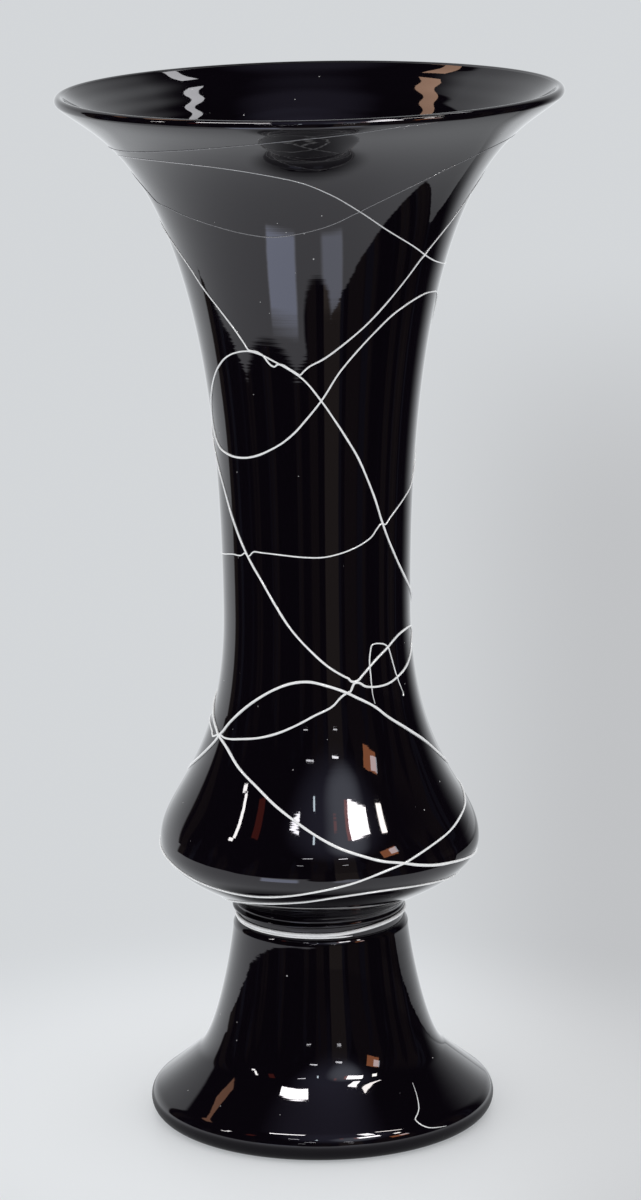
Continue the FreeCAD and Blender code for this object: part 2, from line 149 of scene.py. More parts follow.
bulb_arch_route_shares = (
    (-145, 0.138), (-120, 0.145), (-100, 0.161), (-86.5, 0.179), (-75.5, 0.198), (-69, 0.212),
    (-62, 0.23), (-57.5, 0.243), (-52, 0.255), (-44, 0.27), (-35, 0.284), (-25.5, 0.296),
    (-14.5, 0.305), (-5.5, 0.307), (5, 0.302), (14, 0.295), (23, 0.285), (34, 0.271), (41, 0.258),
    (54.5, 0.237), (72, 0.209), (81.5, 0.191), (91, 0.175), (105, 0.16), (125, 0.152), (150, 0.15))
bulb_sweep_route_shares = (
    (-150, 0.282), (-125, 0.276), (-100, 0.262), (-82, 0.2435), (-63, 0.226), (-54, 0.217),
    (-42, 0.199), (-29, 0.181), (-19, 0.164), (-9.5, 0.148), (-1, 0.133), (7, 0.12), (15, 0.11),
    (23, 0.101), (30, 0.096), (36.5, 0.09), (45, 0.084), (54.5, 0.08), (63.5, 0.076), (77, 0.07),
    (95, 0.065), (120, 0.062), (140, 0.06))
bulb_cross_route_shares = (
    (140, 0.134), (125, 0.137), (105, 0.14), (90, 0.137), (80, 0.13), (68.5, 0.124), (57, 0.116),
    (45, 0.108), (37, 0.101), (32, 0.096), (23, 0.089), (11, 0.078), (-1, 0.069), (-14, 0.06),
    (-28, 0.055), (-40.5, 0.056), (-52.5, 0.06), (-66, 0.068), (-85, 0.077), (-110, 0.083),
    (-135, 0.085))
bulb_under_route_shares = (
    (-95, 0.016), (-75, 0.02), (-51.5, 0.028), (-32.5, 0.039), (-19.5, 0.045), (-7.5, 0.051),
    (7, 0.06), (24.5, 0.064), (39.5, 0.061), (65, 0.052), (85, 0.047), (110, 0.043))
stray_tail_route_shares = (
    (57.5, 0.275), (58, 0.278), (56.7, 0.2855), (53.9, 0.299), (51.6, 0.3145), (49.1, 0.331),
    (47.8, 0.3375), (44.5, 0.3435), (40.4, 0.346), (36.8, 0.3468), (34.6, 0.3458), (33.6, 0.3405),
    (32.7, 0.331), (32.3, 0.3226), (32.8, 0.309), (32.8, 0.2953), (33.3, 0.2842), (34.1, 0.275))
foot_route_shares = (
    (42.5, 0.283), (41.5, 0.255), (39.5, 0.215), (38, 0.192), (36, 0.174), (34, 0.159), (34.5, 0.144),
    (37.5, 0.118), (41.5, 0.107), (45, 0.101))


def length(name, description, default):
    return bpy.props.FloatProperty(
        name=name, description=description, default=default, unit="LENGTH", precision=5)


def count(name, description, default):
    return bpy.props.IntProperty(name=name, description=description, default=default, min=3)


def plain(name, description, default):
    return bpy.props.FloatProperty(name=name, description=description, default=default, precision=4)


def colour(name, description, default):
    return bpy.props.FloatVectorProperty(
        name=name, description=description, default=default, size=3, subtype="COLOR", min=0, max=1)


class VaseSizes(bpy.types.PropertyGroup):
    """Sizes of the blown pieces"""

    vase_height: length("Height", "Top of the lip above the table", bowl_high.z)
    mouth_radius: length("Mouth radius", "Widest radius of the lip", bowl_high.x)
    bowl_seat: length("Bowl seat", "Level where the bowl meets the collar", bowl_low.z)
    bowl_neck_radius: length("Bowl neck radius", "Radius of the bowl at its seat", 0.0415)
    bowl_neck_lean: plain("Bowl neck lean", "Degrees that the bowl leans outwards at its seat", -19)
    bulb_radius: length("Bulb radius", "Widest radius of the bulb", 0.0784)
    bulb_rise: length("Bulb rise", "Widest level of the bulb above the seat", 0.0328)
    stem_radius: length("Stem radius", "Narrowest radius of the stem", 0.0456)
    stem_rise: length("Stem rise", "Narrowest level of the stem above the seat", 0.1478)
    lip_lean: plain("Lip lean", "Degrees that the flare leans outwards at the lip", 47)
    lip_thickness: length("Lip thickness", "Thickness of the rounded lip", 0.0046)
    bulb_wall: length("Bulb wall", "Glass thickness at the bulb", 0.0055)
    stem_wall: length("Stem wall", "Glass thickness at the stem", 0.006)
    bulb_floor: length("Bulb floor", "Glass thickness under the bulb", 0.0095)
    collar_radius: length("Collar radius", "Radius of the collar's bead", 0.0434)
    bead_low_lean: plain("Bead low lean", "Degrees that the bead leans outwards where it starts", 40)
    bead_high_lean: plain("Bead high lean", "Degrees that it leans where it meets the bowl", -50)
    spool_radius: length("Spool radius", "Radius of the glass under the winding", 0.0409)
    spool_height: length("Spool height", "Height of the glass under the winding", 0.0052)
    foot_height: length("Foot height", "Top of the foot above the table", foot_high.z)
    foot_radius: length("Foot radius", "Widest radius of the foot", foot_high.x)
    foot_edge_radius: length("Foot edge radius", "Rounding of the foot's edge", 0.008)
    foot_edge_lean: plain("Foot edge lean", "Degrees of lean where the edge turns into the skirt", -52)
    ground_ring_width: length("Ground ring width", "Width of the flat ring that the foot rests on", 0.005)
    skirt_radius: length("Skirt radius", "Radius where the skirt is shallowest", 0.0613)
    skirt_level: length("Skirt level", "Level where the skirt is shallowest", 0.0316)
    skirt_lean: plain("Skirt lean", "Degrees of lean where the skirt is shallowest", -46)
    foot_neck_radius: length("Foot neck radius", "Radius of the foot just under its top", 0.0432)
    foot_neck_drop: length("Foot neck drop", "Depth of that radius under the foot's top", 0.0032)
    foot_neck_lean: plain("Foot neck lean", "Degrees of lean there", -4)
    foot_wall: length("Foot wall", "Glass thickness of the skirt", 0.006)
    foot_crown_wall: length("Foot crown wall", "Glass thickness over the hollow", 0.008)
    hollow_neck_drop: length(
        "Hollow neck drop", "Depth under the foot's top where the hollow closes in", 0.0218)
    hollow_neck_radius: length("Hollow neck radius", "Radius of the hollow there", 0.039)
    hollow_neck_lean: plain("Hollow neck lean", "Degrees of lean there", -8)
    steps_round: count("Steps round", "Faces round each blown piece", 168)


class HandWork(bpy.types.PropertyGroup):
    """Unevenness that the blower's hand and tools leave in the glass"""

    mouth_tilt: plain("Mouth tilt", "Rise of the mouth per metre to the right", 0.0105)
    mouth_tilt_start: length("Mouth tilt start", "Level above which the mouth tilts", 0.33)
    mouth_pitch: plain("Mouth pitch", "Fall of the mouth per metre to the back", 0.0115)
    mouth_raise: length("Mouth raise", "How far the whole mouth stands above its drawn level", 0.0005)
    mouth_drift: length("Mouth drift", "How far the mouth stands off the axis, to the left", 0.0009)
    mouth_oval: length(
        "Mouth oval", "How much the mouth is wider from side to side than the circle", 0.0008)
    ripple_depth: length(
        "Ripple depth", "Height of the ripples that the jacks leave inside the flare", 0.00007)
    ripple_pitch: length("Ripple pitch", "Distance from ripple to ripple", 0.0062)
    ring_depth: length("Ring depth", "Height of the tool rings under the bulb", 0.00035)
    ring_pitch: length("Ring pitch", "Distance from tool ring to tool ring", 0.0034)
    bead_fade: plain("Bead fade", "Share of the collar's bead that is pressed flat on the right", 0.8)
    ring_top: length("Ring top", "Level above which the tool rings fade", 0.1225)
    winding_rise: length("Winding rise", "Height that the winding climbs on the right", 0.0022)
    winding_unevenness: plain("Winding unevenness", "Share by which the winding's width wanders", 0.07)
    winding_sway: plain("Winding sway", "How far it wanders in and out, in its half widths", 0.1)
    winding_bob: plain("Winding bob", "How far it wanders up and down, in its half widths", 0.12)


class ThreadSizes(bpy.types.PropertyGroup):
    """Sizes of the white glass threads"""

    trail_width: length("Trail width", "Width of the main trails", 0.00108)
    sweep_width: length("Sweep width", "Width of the heavier trails round the bulb", 0.00136)
    fine_width: length("Fine width", "Width of the hair-fine trails", 0.0007)
    foot_width: length("Foot trail width", "Width of the trail on the foot", 0.00056)
    end_share: plain("End share", "Share of its width that a thread keeps at its very end", 0.35)
    drawing_power: plain("Drawing power", "How strongly the opening flare drew the threads thin", 1.25)
    blob_root_share: plain("Blob root share", "Width where a blob joins its thread", 0.4)
    tail_length: length("Tail length", "Length over which a trail tapers out", 0.014)
    stand_share: plain(
        "Stand share", "Share of its width that a trail's centre stands above the glass", 0.12)
    lift_share: plain("Lift share", "Share of its width that a trail rises over another", 0.3)
    lift_run: length("Lift run", "Distance over which it rises", 0.0022)
    unevenness: plain("Unevenness", "Share by which a trail's width wanders", 0.16)
    slow_wander: plain("Slow wander", "Pace of the width's slow wander, per metre", 90)
    quick_wander: plain("Quick wander", "Pace of the width's quick wander, per metre", 310)
    thread_step: length("Thread step", "Distance between samples along a trail", 0.0012)
    winding_share: plain(
        "Winding share", "Half width of the winding, as a share of the spool's height", 0.18)
    winding_thin_share: plain("Thin start share", "Share of its width that the winding starts with", 0.46)
    winding_start: plain("Winding start", "Degrees from the front where the winding starts", 22)
    winding_turns: plain("Winding turns", "How many times the winding runs round", 1.45)
    winding_thin_turns: plain("Thin turns", "Turns before the winding thickens", 0.32)
    winding_grow_turns: plain("Growing turns", "Turns over which it thickens and climbs", 0.38)
    winding_gap_share: plain("Winding gap", "Gap between its strands, as a share of its half width", 0.12)
    winding_steps: count("Winding steps", "Samples along the winding", 420)


class GlassLook(bpy.types.PropertyGroup):
    """Colours and finish of the glass"""

    black: colour(
        "Black glass", "Body colour of the dark glass, with its violet cast", (0.0026, 0.0017, 0.0032))
    white: colour("White glass", "Colour of the threads", (0.97, 0.975, 0.98))
    drawn_white: colour(
        "Drawn white", "Colour of a thread drawn so thin that the dark glass shows", (0.5, 0.5, 0.52))
    faint_white: colour("Faint white", "Colour of the faintest threads", (0.26, 0.26, 0.275))
    gloss_cast: colour(
        "Gloss cast", "Violet cast of what the dark glass reflects", (0.985, 0.955, 1.0))
    dust: colour("Dust", "Colour of dust and lint specks", (0.5, 0.5, 0.5))
    bending: plain("Bending", "Index of refraction of the glass", 1.52)
    gloss: plain("Gloss roughness", "Roughness of the fire-polished surface", 0.025)
    haze_roughness: plain("Haze roughness", "Roughness that handling haze adds", 0.035)
    dust_roughness: plain("Dust roughness", "Roughness that a speck of dust adds", 0.5)
    black_bump: length("Black bump", "Height of the fine ripples on the dark glass", 0.000019)
    white_gloss: plain("White gloss", "Roughness of a clean thread", 0.12)
    white_dull: plain("White dull", "Roughness of a hazy thread", 0.3)
    white_haze: plain("White haze", "How far haze greys a thread", 0.18)
    white_bump: length("White bump", "Height of the ripples on a thread", 0.00003)
    fade_start: length("Fade start", "Level above which the threads begin to thin out", 0.425)
    fade_end: length("Fade end", "Level where the threads are thinnest", 0.492)


class StudioLook(bpy.types.PropertyGroup):
    """Camera, floor and soft light"""

    camera_back: length("Camera distance", "How far the camera stands in front of the axis", 2.24704)
    camera_level: length("Camera level", "Height of the camera above the table", 0.80428)
    aim_level: length("Aim level", "Height on the axis that the camera looks at", 0.2594)
    camera_yaw: plain("Camera yaw", "Small turn of the camera to the right, in radians", 0.00074)
    camera_roll: plain("Camera roll", "Small roll of the camera, in radians", -0.01145)
    lens: plain("Lens", "Focal length in millimetres for a frame 24 mm high", 95.128)
    frame_height: plain("Frame height", "Height of the sensor in millimetres", 24)
    backdrop: colour("Backdrop", "Colour of the pale backdrop", (0.655, 0.675, 0.695))
    floor: colour("Floor", "Colour of the pale floor", (0.93, 0.945, 0.96))
    shade: colour(
        "Shade", "Colour of the unlit side of the studio, in front of the vase", (0.006, 0.005, 0.008))
    # Painted light: an emission colour that brightens the table close to the foot, lifting its shadow
    near_table_painted_light: colour("Near table", "Colour of the table close to the foot", (0.74, 0.765, 0.79))
    # Painted shade: darker colour that the table takes towards the far right
    far_right_painted_shade: colour("Far right", "Colour of the table at the far right", (0.53, 0.54, 0.555))
    cool_glare: colour("Cool glare", "Colour of the strips of glare on the table", (0.58, 0.66, 0.88))
    glare_strength: plain("Glare strength", "How much the strips of glare add in the gloss", 3.0)
    gloss_gain: plain(
        "Gloss gain", "How much brighter the gloss sees the pale surroundings than the eye", 1.5)
    fill_strength: plain("Fill strength", "Strength of the even light all round", 1.0)
    lamp_power: plain("Lamp power", "Scale of all lamps", 1.0)
    floor_radius: length("Floor radius", "Radius of the round table top", 9)


def sizes():
    return bpy.context.scene.vase_sizes


def hand():
    return bpy.context.scene.vase_hand


def threads():
    return bpy.context.scene.vase_threads


def look():
    return bpy.context.scene.vase_look


def studio():
    return bpy.context.scene.vase_studio


# Outlines in the profile plane, with x as the radius and z as the level

def heading(lean):
    angle = math.radians(lean)
    return Vector((math.sin(angle), 0, math.cos(angle)))


def at(radius, level):
    return Vector((radius, 0, level))


def behind_wall(station, wall):
    angle = math.radians(station.lean)
    return Station(
        station.radius - wall * math.cos(angle), station.level + wall * math.sin(angle), station.lean)


def swell(low, high, sweep_shares, pieces):
    start = at(low.radius, low.level)
    finish = at(high.radius, high.level)
    run = (finish - start).length
    return interpolate_bezier(
        start,
        start + heading(low.lean) * (run * sweep_shares[0]),
        finish - heading(high.lean) * (run * sweep_shares[1]),
        finish,
        pieces + 1)


def arc(centre, radius, first_degrees, last_degrees, pieces):
    points = []
    for index in range(pieces + 1):
        angle = math.radians(first_degrees + (last_degrees - first_degrees) * index / pieces)
        points.append(centre + at(math.cos(angle), math.sin(angle)) * radius)
    return points


def downwards(points):
    return list(reversed(points))


# One chain from several runs, without the points that they share
def chained(*runs):
    chain = []
    for run in runs:
        for point in run:
            if not chain or (point - chain[-1]).length > 1e-7:
                chain.append(point.copy())
    return chain


def lip_centre(s):
    return Station(s.mouth_radius - s.lip_thickness / 2, s.vase_height - s.lip_thickness / 2, s.lip_lean)


def bulb_station(s):
    return Station(s.bulb_radius, s.bowl_seat + s.bulb_rise, 0)


def stem_station(s):
    return Station(s.stem_radius, s.bowl_seat + s.stem_rise, 0)


def bowl_outside(s):
    neck = Station(s.bowl_neck_radius, s.bowl_seat, s.bowl_neck_lean)
    lip = behind_wall(lip_centre(s), -s.lip_thickness / 2)
    return chained(
        swell(neck, bulb_station(s), bowl_neck_sweep_shares, bowl_neck_pieces),
        swell(bulb_station(s), stem_station(s), bulb_sweep_shares, bulb_pieces),
        swell(stem_station(s), lip, stem_sweep_shares, flare_pieces))


def lip_edge(s):
    centre = lip_centre(s)
    return arc(
        at(centre.radius, centre.level), s.lip_thickness / 2, -s.lip_lean, 180 - s.lip_lean,
        lip_pieces)


def bowl_inside(s):
    lip = behind_wall(lip_centre(s), s.lip_thickness / 2)
    stem = behind_wall(stem_station(s), s.stem_wall)
    bulb = behind_wall(bulb_station(s), s.bulb_wall)
    floor = Station(0, s.bowl_seat + s.bulb_floor, 90)
    return chained(
        downwards(swell(stem, lip, stem_sweep_shares, inner_flare_pieces)),
        downwards(swell(bulb, stem, bulb_sweep_shares, inner_bulb_pieces)),
        downwards(swell(floor, bulb, floor_sweep_shares, floor_pieces)))


def foot_edge_top(s):
    centre = at(s.foot_radius - s.foot_edge_radius, s.foot_edge_radius)
    angle = math.radians(s.foot_edge_lean)
    return centre + at(math.cos(angle), -math.sin(angle)) * s.foot_edge_radius


def skirt_station(s):
    return Station(s.skirt_radius, s.skirt_level, s.skirt_lean)


def foot_outside(s):
    centre = at(s.foot_radius - s.foot_edge_radius, s.foot_edge_radius)
    top = foot_edge_top(s)
    edge = Station(top.x, top.z, s.foot_edge_lean)
    neck = Station(s.foot_neck_radius, s.foot_height - s.foot_neck_drop, s.foot_neck_lean)
    shoulder = Station(s.spool_radius, s.foot_height, -90)
    return chained(
        arc(centre, s.foot_edge_radius, -90, -s.foot_edge_lean, foot_edge_pieces),
        swell(edge, skirt_station(s), foot_edge_sweep_shares, low_skirt_pieces),
        swell(skirt_station(s), neck, skirt_sweep_shares, skirt_pieces),
        swell(neck, shoulder, foot_shoulder_sweep_shares, foot_shoulder_pieces))


def foot_hollow(s):
    rim = Station(s.foot_radius - s.foot_edge_radius - s.ground_ring_width, 0, s.skirt_lean / 2)
    skirt = behind_wall(skirt_station(s), s.foot_wall)
    neck = Station(s.hollow_neck_radius, s.foot_height - s.hollow_neck_drop, s.hollow_neck_lean)
    crown = Station(0, s.foot_height - s.foot_crown_wall, -90)
    return chained(
        downwards(swell(neck, crown, hollow_crown_sweep_shares, hollow_crown_pieces)),
        downwards(swell(skirt, neck, hollow_skirt_sweep_shares, hollow_skirt_pieces)),
        downwards(swell(rim, skirt, hollow_rim_sweep_shares, hollow_rim_pieces)))


def collar_outline(s):
    spool_top = s.foot_height + s.spool_height
    bead_rise = s.bowl_seat - spool_top
    waist = Station(s.spool_radius, spool_top, s.bead_low_lean)
    bead = Station(s.collar_radius, spool_top + bead_rise / 2, 0)
    seat = Station(s.bowl_neck_radius, s.bowl_seat, s.bead_high_lean)
    return chained(
        [at(0, s.foot_height), at(s.spool_radius, s.foot_height)],
        [at(s.spool_radius, s.foot_height + s.spool_height * share) for share in spool_level_shares],
        swell(waist, bead, bead_sweep_shares, bead_pieces),
        swell(bead, seat, bead_sweep_shares, bead_pieces),
        [at(0, s.bowl_seat)])


def ease(value):
    held = min(1, max(0, value))
    return held * held * (3 - 2 * held)


# 0 on the stem, 1 at the lip: how much of the mouth's unevenness a level takes part in
def mouth_share(level):
    start = hand().mouth_tilt_start
    return ease((level - start) / (sizes().vase_height - start))


def pitched(point):
    h = hand()
    return mouth_share(point.z) * (h.mouth_raise - h.mouth_pitch * point.y)


# A wander between -1 and 1 that closes on itself round the glass
def wander_round(outward, pace, height):
    return noise.noise(Vector((outward.x * pace, outward.y * pace, height)))


# The glass as the hand left it: a mouth that tilts and is a little oval, tool rings and ripples
def hand_shaped(point, inward):
    s = sizes()
    h = hand()
    radius = math.hypot(point.x, point.y)
    if radius < 1e-6:
        return point.copy()
    outward = Vector((point.x / radius, point.y / radius, 0))
    turn = math.atan2(point.x, -point.y)
    rise = mouth_share(point.z)
    step = -h.mouth_oval * rise * math.cos(2 * turn)
    if inward:
        wander = wander_round(outward, 1.7, point.z * 35)
        phase = math.tau * point.z / h.ripple_pitch + 5 * wander
        step += h.ripple_depth * rise * math.sin(phase) * (1 + wander)
    elif s.bowl_seat < point.z < s.bowl_seat + s.bulb_rise:
        wander = wander_round(outward, 2, point.z * 90)
        fade = ease((h.ring_top - point.z) / (h.ring_top - s.bowl_seat) * 2)
        root = ease((point.z - s.bowl_seat) / h.ring_pitch)
        step += h.ring_depth * fade * root * math.sin(math.tau * point.z / h.ring_pitch + 2 * wander) / 2
    shaped = point + outward * step
    shaped.x -= h.mouth_drift * rise
    shaped.z += h.mouth_tilt * point.x * rise + pitched(point)
    return shaped


# The collar's bead, full on the left and pressed flat on the right
def bead_shaped(point, inward):
    s = sizes()
    radius = math.hypot(point.x, point.y)
    if radius <= s.spool_radius + 1e-6:
        return point.copy()
    pressed = hand().bead_fade * ease(0.5 + 0.9 * point.x / radius)
    kept = s.spool_radius + (radius - s.spool_radius) * (1 - pressed)
    return Vector((point.x * kept / radius, point.y * kept / radius, point.z))


# A turned piece of glass: its outline spun round the axis, closed at the axis and facing outwards
def turned_glass(name, outline, inside_from=None, shaped=hand_shaped):
    mesh = bpy.data.meshes.new(name)
    shape = bmesh.new()
    layer = shape.verts.layers.int.new("inward")
    points = [shape.verts.new(point) for point in outline]
    edges = [shape.edges.new(pair) for pair in zip(points, points[1:])]
    for index, vert in enumerate(points):
        vert[layer] = int(inside_from is not None and index >= inside_from)
    bmesh.ops.spin(
        shape, geom=points + edges, cent=(0, 0, 0), axis=(0, 0, 1), angle=math.tau,
        steps=sizes().steps_round, use_merge=True, use_duplicate=False)
    bmesh.ops.remove_doubles(shape, verts=shape.verts, dist=1e-7)
    bmesh.ops.recalc_face_normals(shape, faces=shape.faces)
    for vert in shape.verts:
        vert.co = shaped(vert.co, vert[layer] == 1)
    for face in shape.faces:
        face.smooth = True
    shape.verts.layers.int.remove(layer)
    shape.to_mesh(mesh)
    shape.free()
    mesh.set_sharp_from_angle(angle=math.radians(50))
    return placed(bpy.data.objects.new(name, mesh))


def placed(piece):
    bpy.context.scene.collection.objects.link(piece)
    return piece


# A finished piece of glass rides on the vase, stands for its node and takes its finish
def finished(piece, node, material):
    piece.data.materials.append(material)
    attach(piece, "root")
    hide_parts(node)
    return piece


# White glass threads

def outline_samples(points):
    samples = []
    for index, point in enumerate(points):
        before = points[max(index - 1, 0)]
        after = points[min(index + 1, len(points) - 1)]
        if not samples or point.z > samples[-1][0]:
            samples.append((point.z, point.x, math.atan2(after.x - before.x, after.z - before.z)))
    return samples


def outline_at(samples, level):
    low = 0
    high = len(samples) - 1
    while high - low > 1:
        middle = (low + high) // 2
        if samples[middle][0] > level:
            high = middle
        else:
            low = middle
    before = samples[low]
    after = samples[high]
    part = min(1, max(0, (level - before[0]) / (after[0] - before[0])))
    return before[1] + part * (after[1] - before[1]), before[2] + part * (after[2] - before[2])


# Point of the shaped glass and its outward direction, at a turn from the front and a level. The level
# is the one that the eye sees, so what the mouth's pitch adds to it is taken off first.
def on_glass(outline, turn, level):
    radius = outline_at(outline.samples, level)[0]
    level -= pitched(Vector((0, -radius * math.cos(turn), level)))
    radius, lean = outline_at(outline.samples, level)
    point = Vector((radius * math.sin(turn), -radius * math.cos(turn), level))
    normal = Vector((
        math.cos(lean) * math.sin(turn), -math.cos(lean) * math.cos(turn), -math.sin(lean)))
    return Spot(hand_shaped(point, False), normal)


# A smooth flat line through the points of a route, close enough sampled for a thread
def smooth_line(knots, step):
    headings = []
    for index, knot in enumerate(knots):
        before = knots[max(index - 1, 0)]
        after = knots[min(index + 1, len(knots) - 1)]
        back = max((knot - before).length, 1e-9)
        ahead = max((after - knot).length, 1e-9)
        if index in (0, len(knots) - 1):
            headings.append((after - before).normalized())
        else:
            headings.append((((knot - before) / back * ahead + (after - knot) / ahead * back)
                             / (back + ahead)))
    line = []
    for index in range(len(knots) - 1):
        run = (knots[index + 1] - knots[index]).length
        pieces = max(2, round(run / step))
        line.extend(interpolate_bezier(
            knots[index],
            knots[index] + headings[index] * (run / 3),
            knots[index + 1] - headings[index + 1] * (run / 3),
            knots[index + 1],
            pieces + 1)[:-1])
    line.append(knots[-1])
    return line


# Hot threads were drawn thinner where the flare opened out after they were laid
def drawn_share(point):
    s = sizes()
    if point.z < s.bowl_seat + s.stem_rise:
        return 1
    return (s.stem_radius / math.hypot(point.x, point.y)) ** threads().drawing_power


# Width of a thread as a share of its full width, where 0 is its end and 1 is past its taper
def tapered(to_end):
    end_share = threads().end_share
    return end_share + (1 - end_share) * to_end


# Width of a thread at a point of its run, as a share of its full width. A blob swells its first end.
def width_share(thread, point, run, whole_run, blob_share):
    t = threads()
    if blob_share and run < thread.width * 2:
        round_off = math.sqrt(max(0.15, 1 - (run / thread.width / 2) ** 2))
        return blob_share * round_off + t.blob_root_share
    to_end = min(run, whole_run - run, t.tail_length) / t.tail_length
    wander = noise.noise(point * t.slow_wander) + 0.5 * noise.noise(point * t.quick_wander)
    return drawn_share(point) * tapered(to_end) * (1 + t.unevenness * wander)


# Where a thread's route runs on the glass
def route_spots(thread, outline):
    radius_unit = sizes().stem_radius
    knots = [
        Vector((math.radians(degrees) * radius_unit, 0, outline.base + share * outline.height))
        for degrees, share in thread.route_shares]
    return [
        on_glass(outline, flat.x / radius_unit, flat.z)
        for flat in smooth_line(knots, threads().thread_step)]


def nearness_tree(points):
    tree = kdtree.KDTree(max(len(points), 1))
    for index, point in enumerate(points):
        tree.insert(point, index)
    tree.balance()
    return tree


# A round thread through its samples, each a place and the share of the full width there
def thread_object(node_name, half_width, rounding, samples):
    line = bpy.data.curves.new(node_name + "_glass", "CURVE")
    line.dimensions = "3D"
    line.bevel_depth = half_width
    line.bevel_resolution = rounding
    line.use_fill_caps = True
    spline = line.splines.new("POLY")
    spline.points.add(len(samples) - 1)
    for point, (place, share) in zip(spline.points, samples):
        point.co = (*place, 1)
        point.radius = share
    return placed(bpy.data.objects.new(node_name + "_glass", line))


# A thread as a round bead half sunk in the glass, risen a little where it crosses an earlier one
def thread_curve(thread, outline, laid, blob_share=0):
    t = threads()
    spots = route_spots(thread, outline)
    tree = nearness_tree(laid)
    runs = [0]
    for before, after in zip(spots, spots[1:]):
        runs.append(runs[-1] + (after.point - before.point).length)
    samples = []
    for spot, run in zip(spots, runs):
        share = width_share(thread, spot.point, run, runs[-1], blob_share)
        lift = 0
        if laid:
            gap = tree.find(spot.point)[2]
            lift = ease(1 - (gap - thread.width / 2) / t.lift_run) * t.lift_share
        offset = thread.width * (t.stand_share * share + lift)
        samples.append((spot.point + spot.normal * offset, share))
    laid.extend(spot.point for spot in spots)
    return thread_object(thread.node, thread.width / 2, thread_rounding, samples)


# A wander between -1 and 1 along the winding
def winding_wander(done, pace, lane, row=0):
    return noise.noise(Vector((done * pace, lane, row)))


# The finishing wrap round the waist: a thin start at the front right that runs to the left and round
# the back, then a thicker strand above it, which climbs on the right and ends at the back. How far it
# stands out and climbs is counted in half widths of the strand.
def winding_curve():
    s = sizes()
    h = hand()
    t = threads()
    thin = t.winding_thin_share
    strand = s.spool_height * t.winding_share
    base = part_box("waist_winding")[0].z
    samples = []
    for index in range(t.winding_steps + 1):
        done = t.winding_turns * index / t.winding_steps
        turn = math.radians(t.winding_start) - math.tau * done
        grown = ease((done - t.winding_thin_turns) / t.winding_grow_turns)
        share = thin + (1 - thin) * grown
        share *= 1 + h.winding_unevenness * winding_wander(done, 9, 3.1)
        stand = 0.2 + 0.4 * share + h.winding_sway * winding_wander(done, 5, 0, 7.7)
        climb = thin + grown * (1 + thin + t.winding_gap_share)
        climb += h.winding_bob * winding_wander(done, 4, 9.2)
        radius = s.spool_radius + strand * stand
        level = base + strand * climb + h.winding_rise * ease(math.sin(turn)) * grown
        to_end = min(index, t.winding_steps - index, winding_end_steps) / winding_end_steps
        place = Vector((radius * math.sin(turn), -radius * math.cos(turn), level))
        samples.append((place, share * tapered(to_end)))
    return thread_object("waist_winding", strand, winding_rounding, samples)


# Shader helpers

def node(tree, kind, **settings):
    made = tree.nodes.new(kind)
    for name, value in settings.items():
        setattr(made, name, value)
    return made


# A socket takes what another socket gives, or a number or a colour
def feed(tree, socket, value):
    if isinstance(value, bpy.types.NodeSocket):
        tree.links.new(value, socket)
    elif socket.type == "RGBA":
        socket.default_value = (*value, 1)
    else:
        socket.default_value = value


def math_node(tree, operation, first, second):
    made = node(tree, "ShaderNodeMath", operation=operation)
    feed(tree, made.inputs[0], first)
    feed(tree, made.inputs[1], second)
    return made.outputs[0]


def plus(tree, first, second):
    return math_node(tree, "ADD", first, second)


def minus(tree, first, second):
    return math_node(tree, "SUBTRACT", first, second)


def times(tree, first, second):
    return math_node(tree, "MULTIPLY", first, second)


def over(tree, first, second):
    return math_node(tree, "DIVIDE", first, second)


# The power of a number's size, whatever its sign
def size_power(tree, value, power):
    return math_node(tree, "POWER", math_node(tree, "ABSOLUTE", value, 0), power)


# A mix node keeps its sockets for numbers at 0, 2 and 3 and those for colours at 6 and 7
def mix_number(tree, factor, first, second):
    made = node(tree, "ShaderNodeMix", data_type="FLOAT")
    for socket_index, value in ((0, factor), (2, first), (3, second)):
        feed(tree, made.inputs[socket_index], value)
    return made.outputs[0]


def mix_colour(tree, factor, first, second):
    made = node(tree, "ShaderNodeMix", data_type="RGBA")
    for socket_index, value in ((0, factor), (6, first), (7, second)):
        feed(tree, made.inputs[socket_index], value)
    return made.outputs[2]


def mix_shader(tree, factor, first, second):
    made = node(tree, "ShaderNodeMixShader")
    for socket, value in zip(made.inputs, (factor, first, second)):
        tree.links.new(value, socket)
    return made.outputs[0]


# An even glow: an Emission on a surface or a Background in the world
def glowing(tree, kind, glow_colour, strength):
    made = node(tree, kind)
    feed(tree, made.inputs["Color"], glow_colour)
    feed(tree, made.inputs["Strength"], strength)
    return made.outputs[0]


def ramp(tree, value, low, high, to_low=0.0, to_high=1.0):
    made = node(tree, "ShaderNodeMapRange", interpolation_type="SMOOTHSTEP")
    tree.links.new(value, made.inputs["Value"])
    for name, number in (
            ("From Min", low), ("From Max", high), ("To Min", to_low), ("To Max", to_high)):
        made.inputs[name].default_value = number
    return made.outputs["Result"]


def object_place(tree):
    return node(tree, "ShaderNodeTexCoord").outputs["Object"]


def axes(tree, place):
    parts = node(tree, "ShaderNodeSeparateXYZ")
    tree.links.new(place, parts.inputs[0])
    return tuple(parts.outputs)


def joined_axes(tree, x, y, z):
    made = node(tree, "ShaderNodeCombineXYZ")
    for socket, value in zip(made.inputs, (x, y, z)):
        tree.links.new(value, socket)
    return made.outputs[0]


def cloud(tree, place, scale, detail, roughness=0.5):
    made = node(tree, "ShaderNodeTexNoise", noise_dimensions="3D")
    tree.links.new(place, made.inputs["Vector"])
    feed(tree, made.inputs["Scale"], scale)
    made.inputs["Detail"].default_value = detail
    made.inputs["Roughness"].default_value = roughness
    return made.outputs["Fac"]


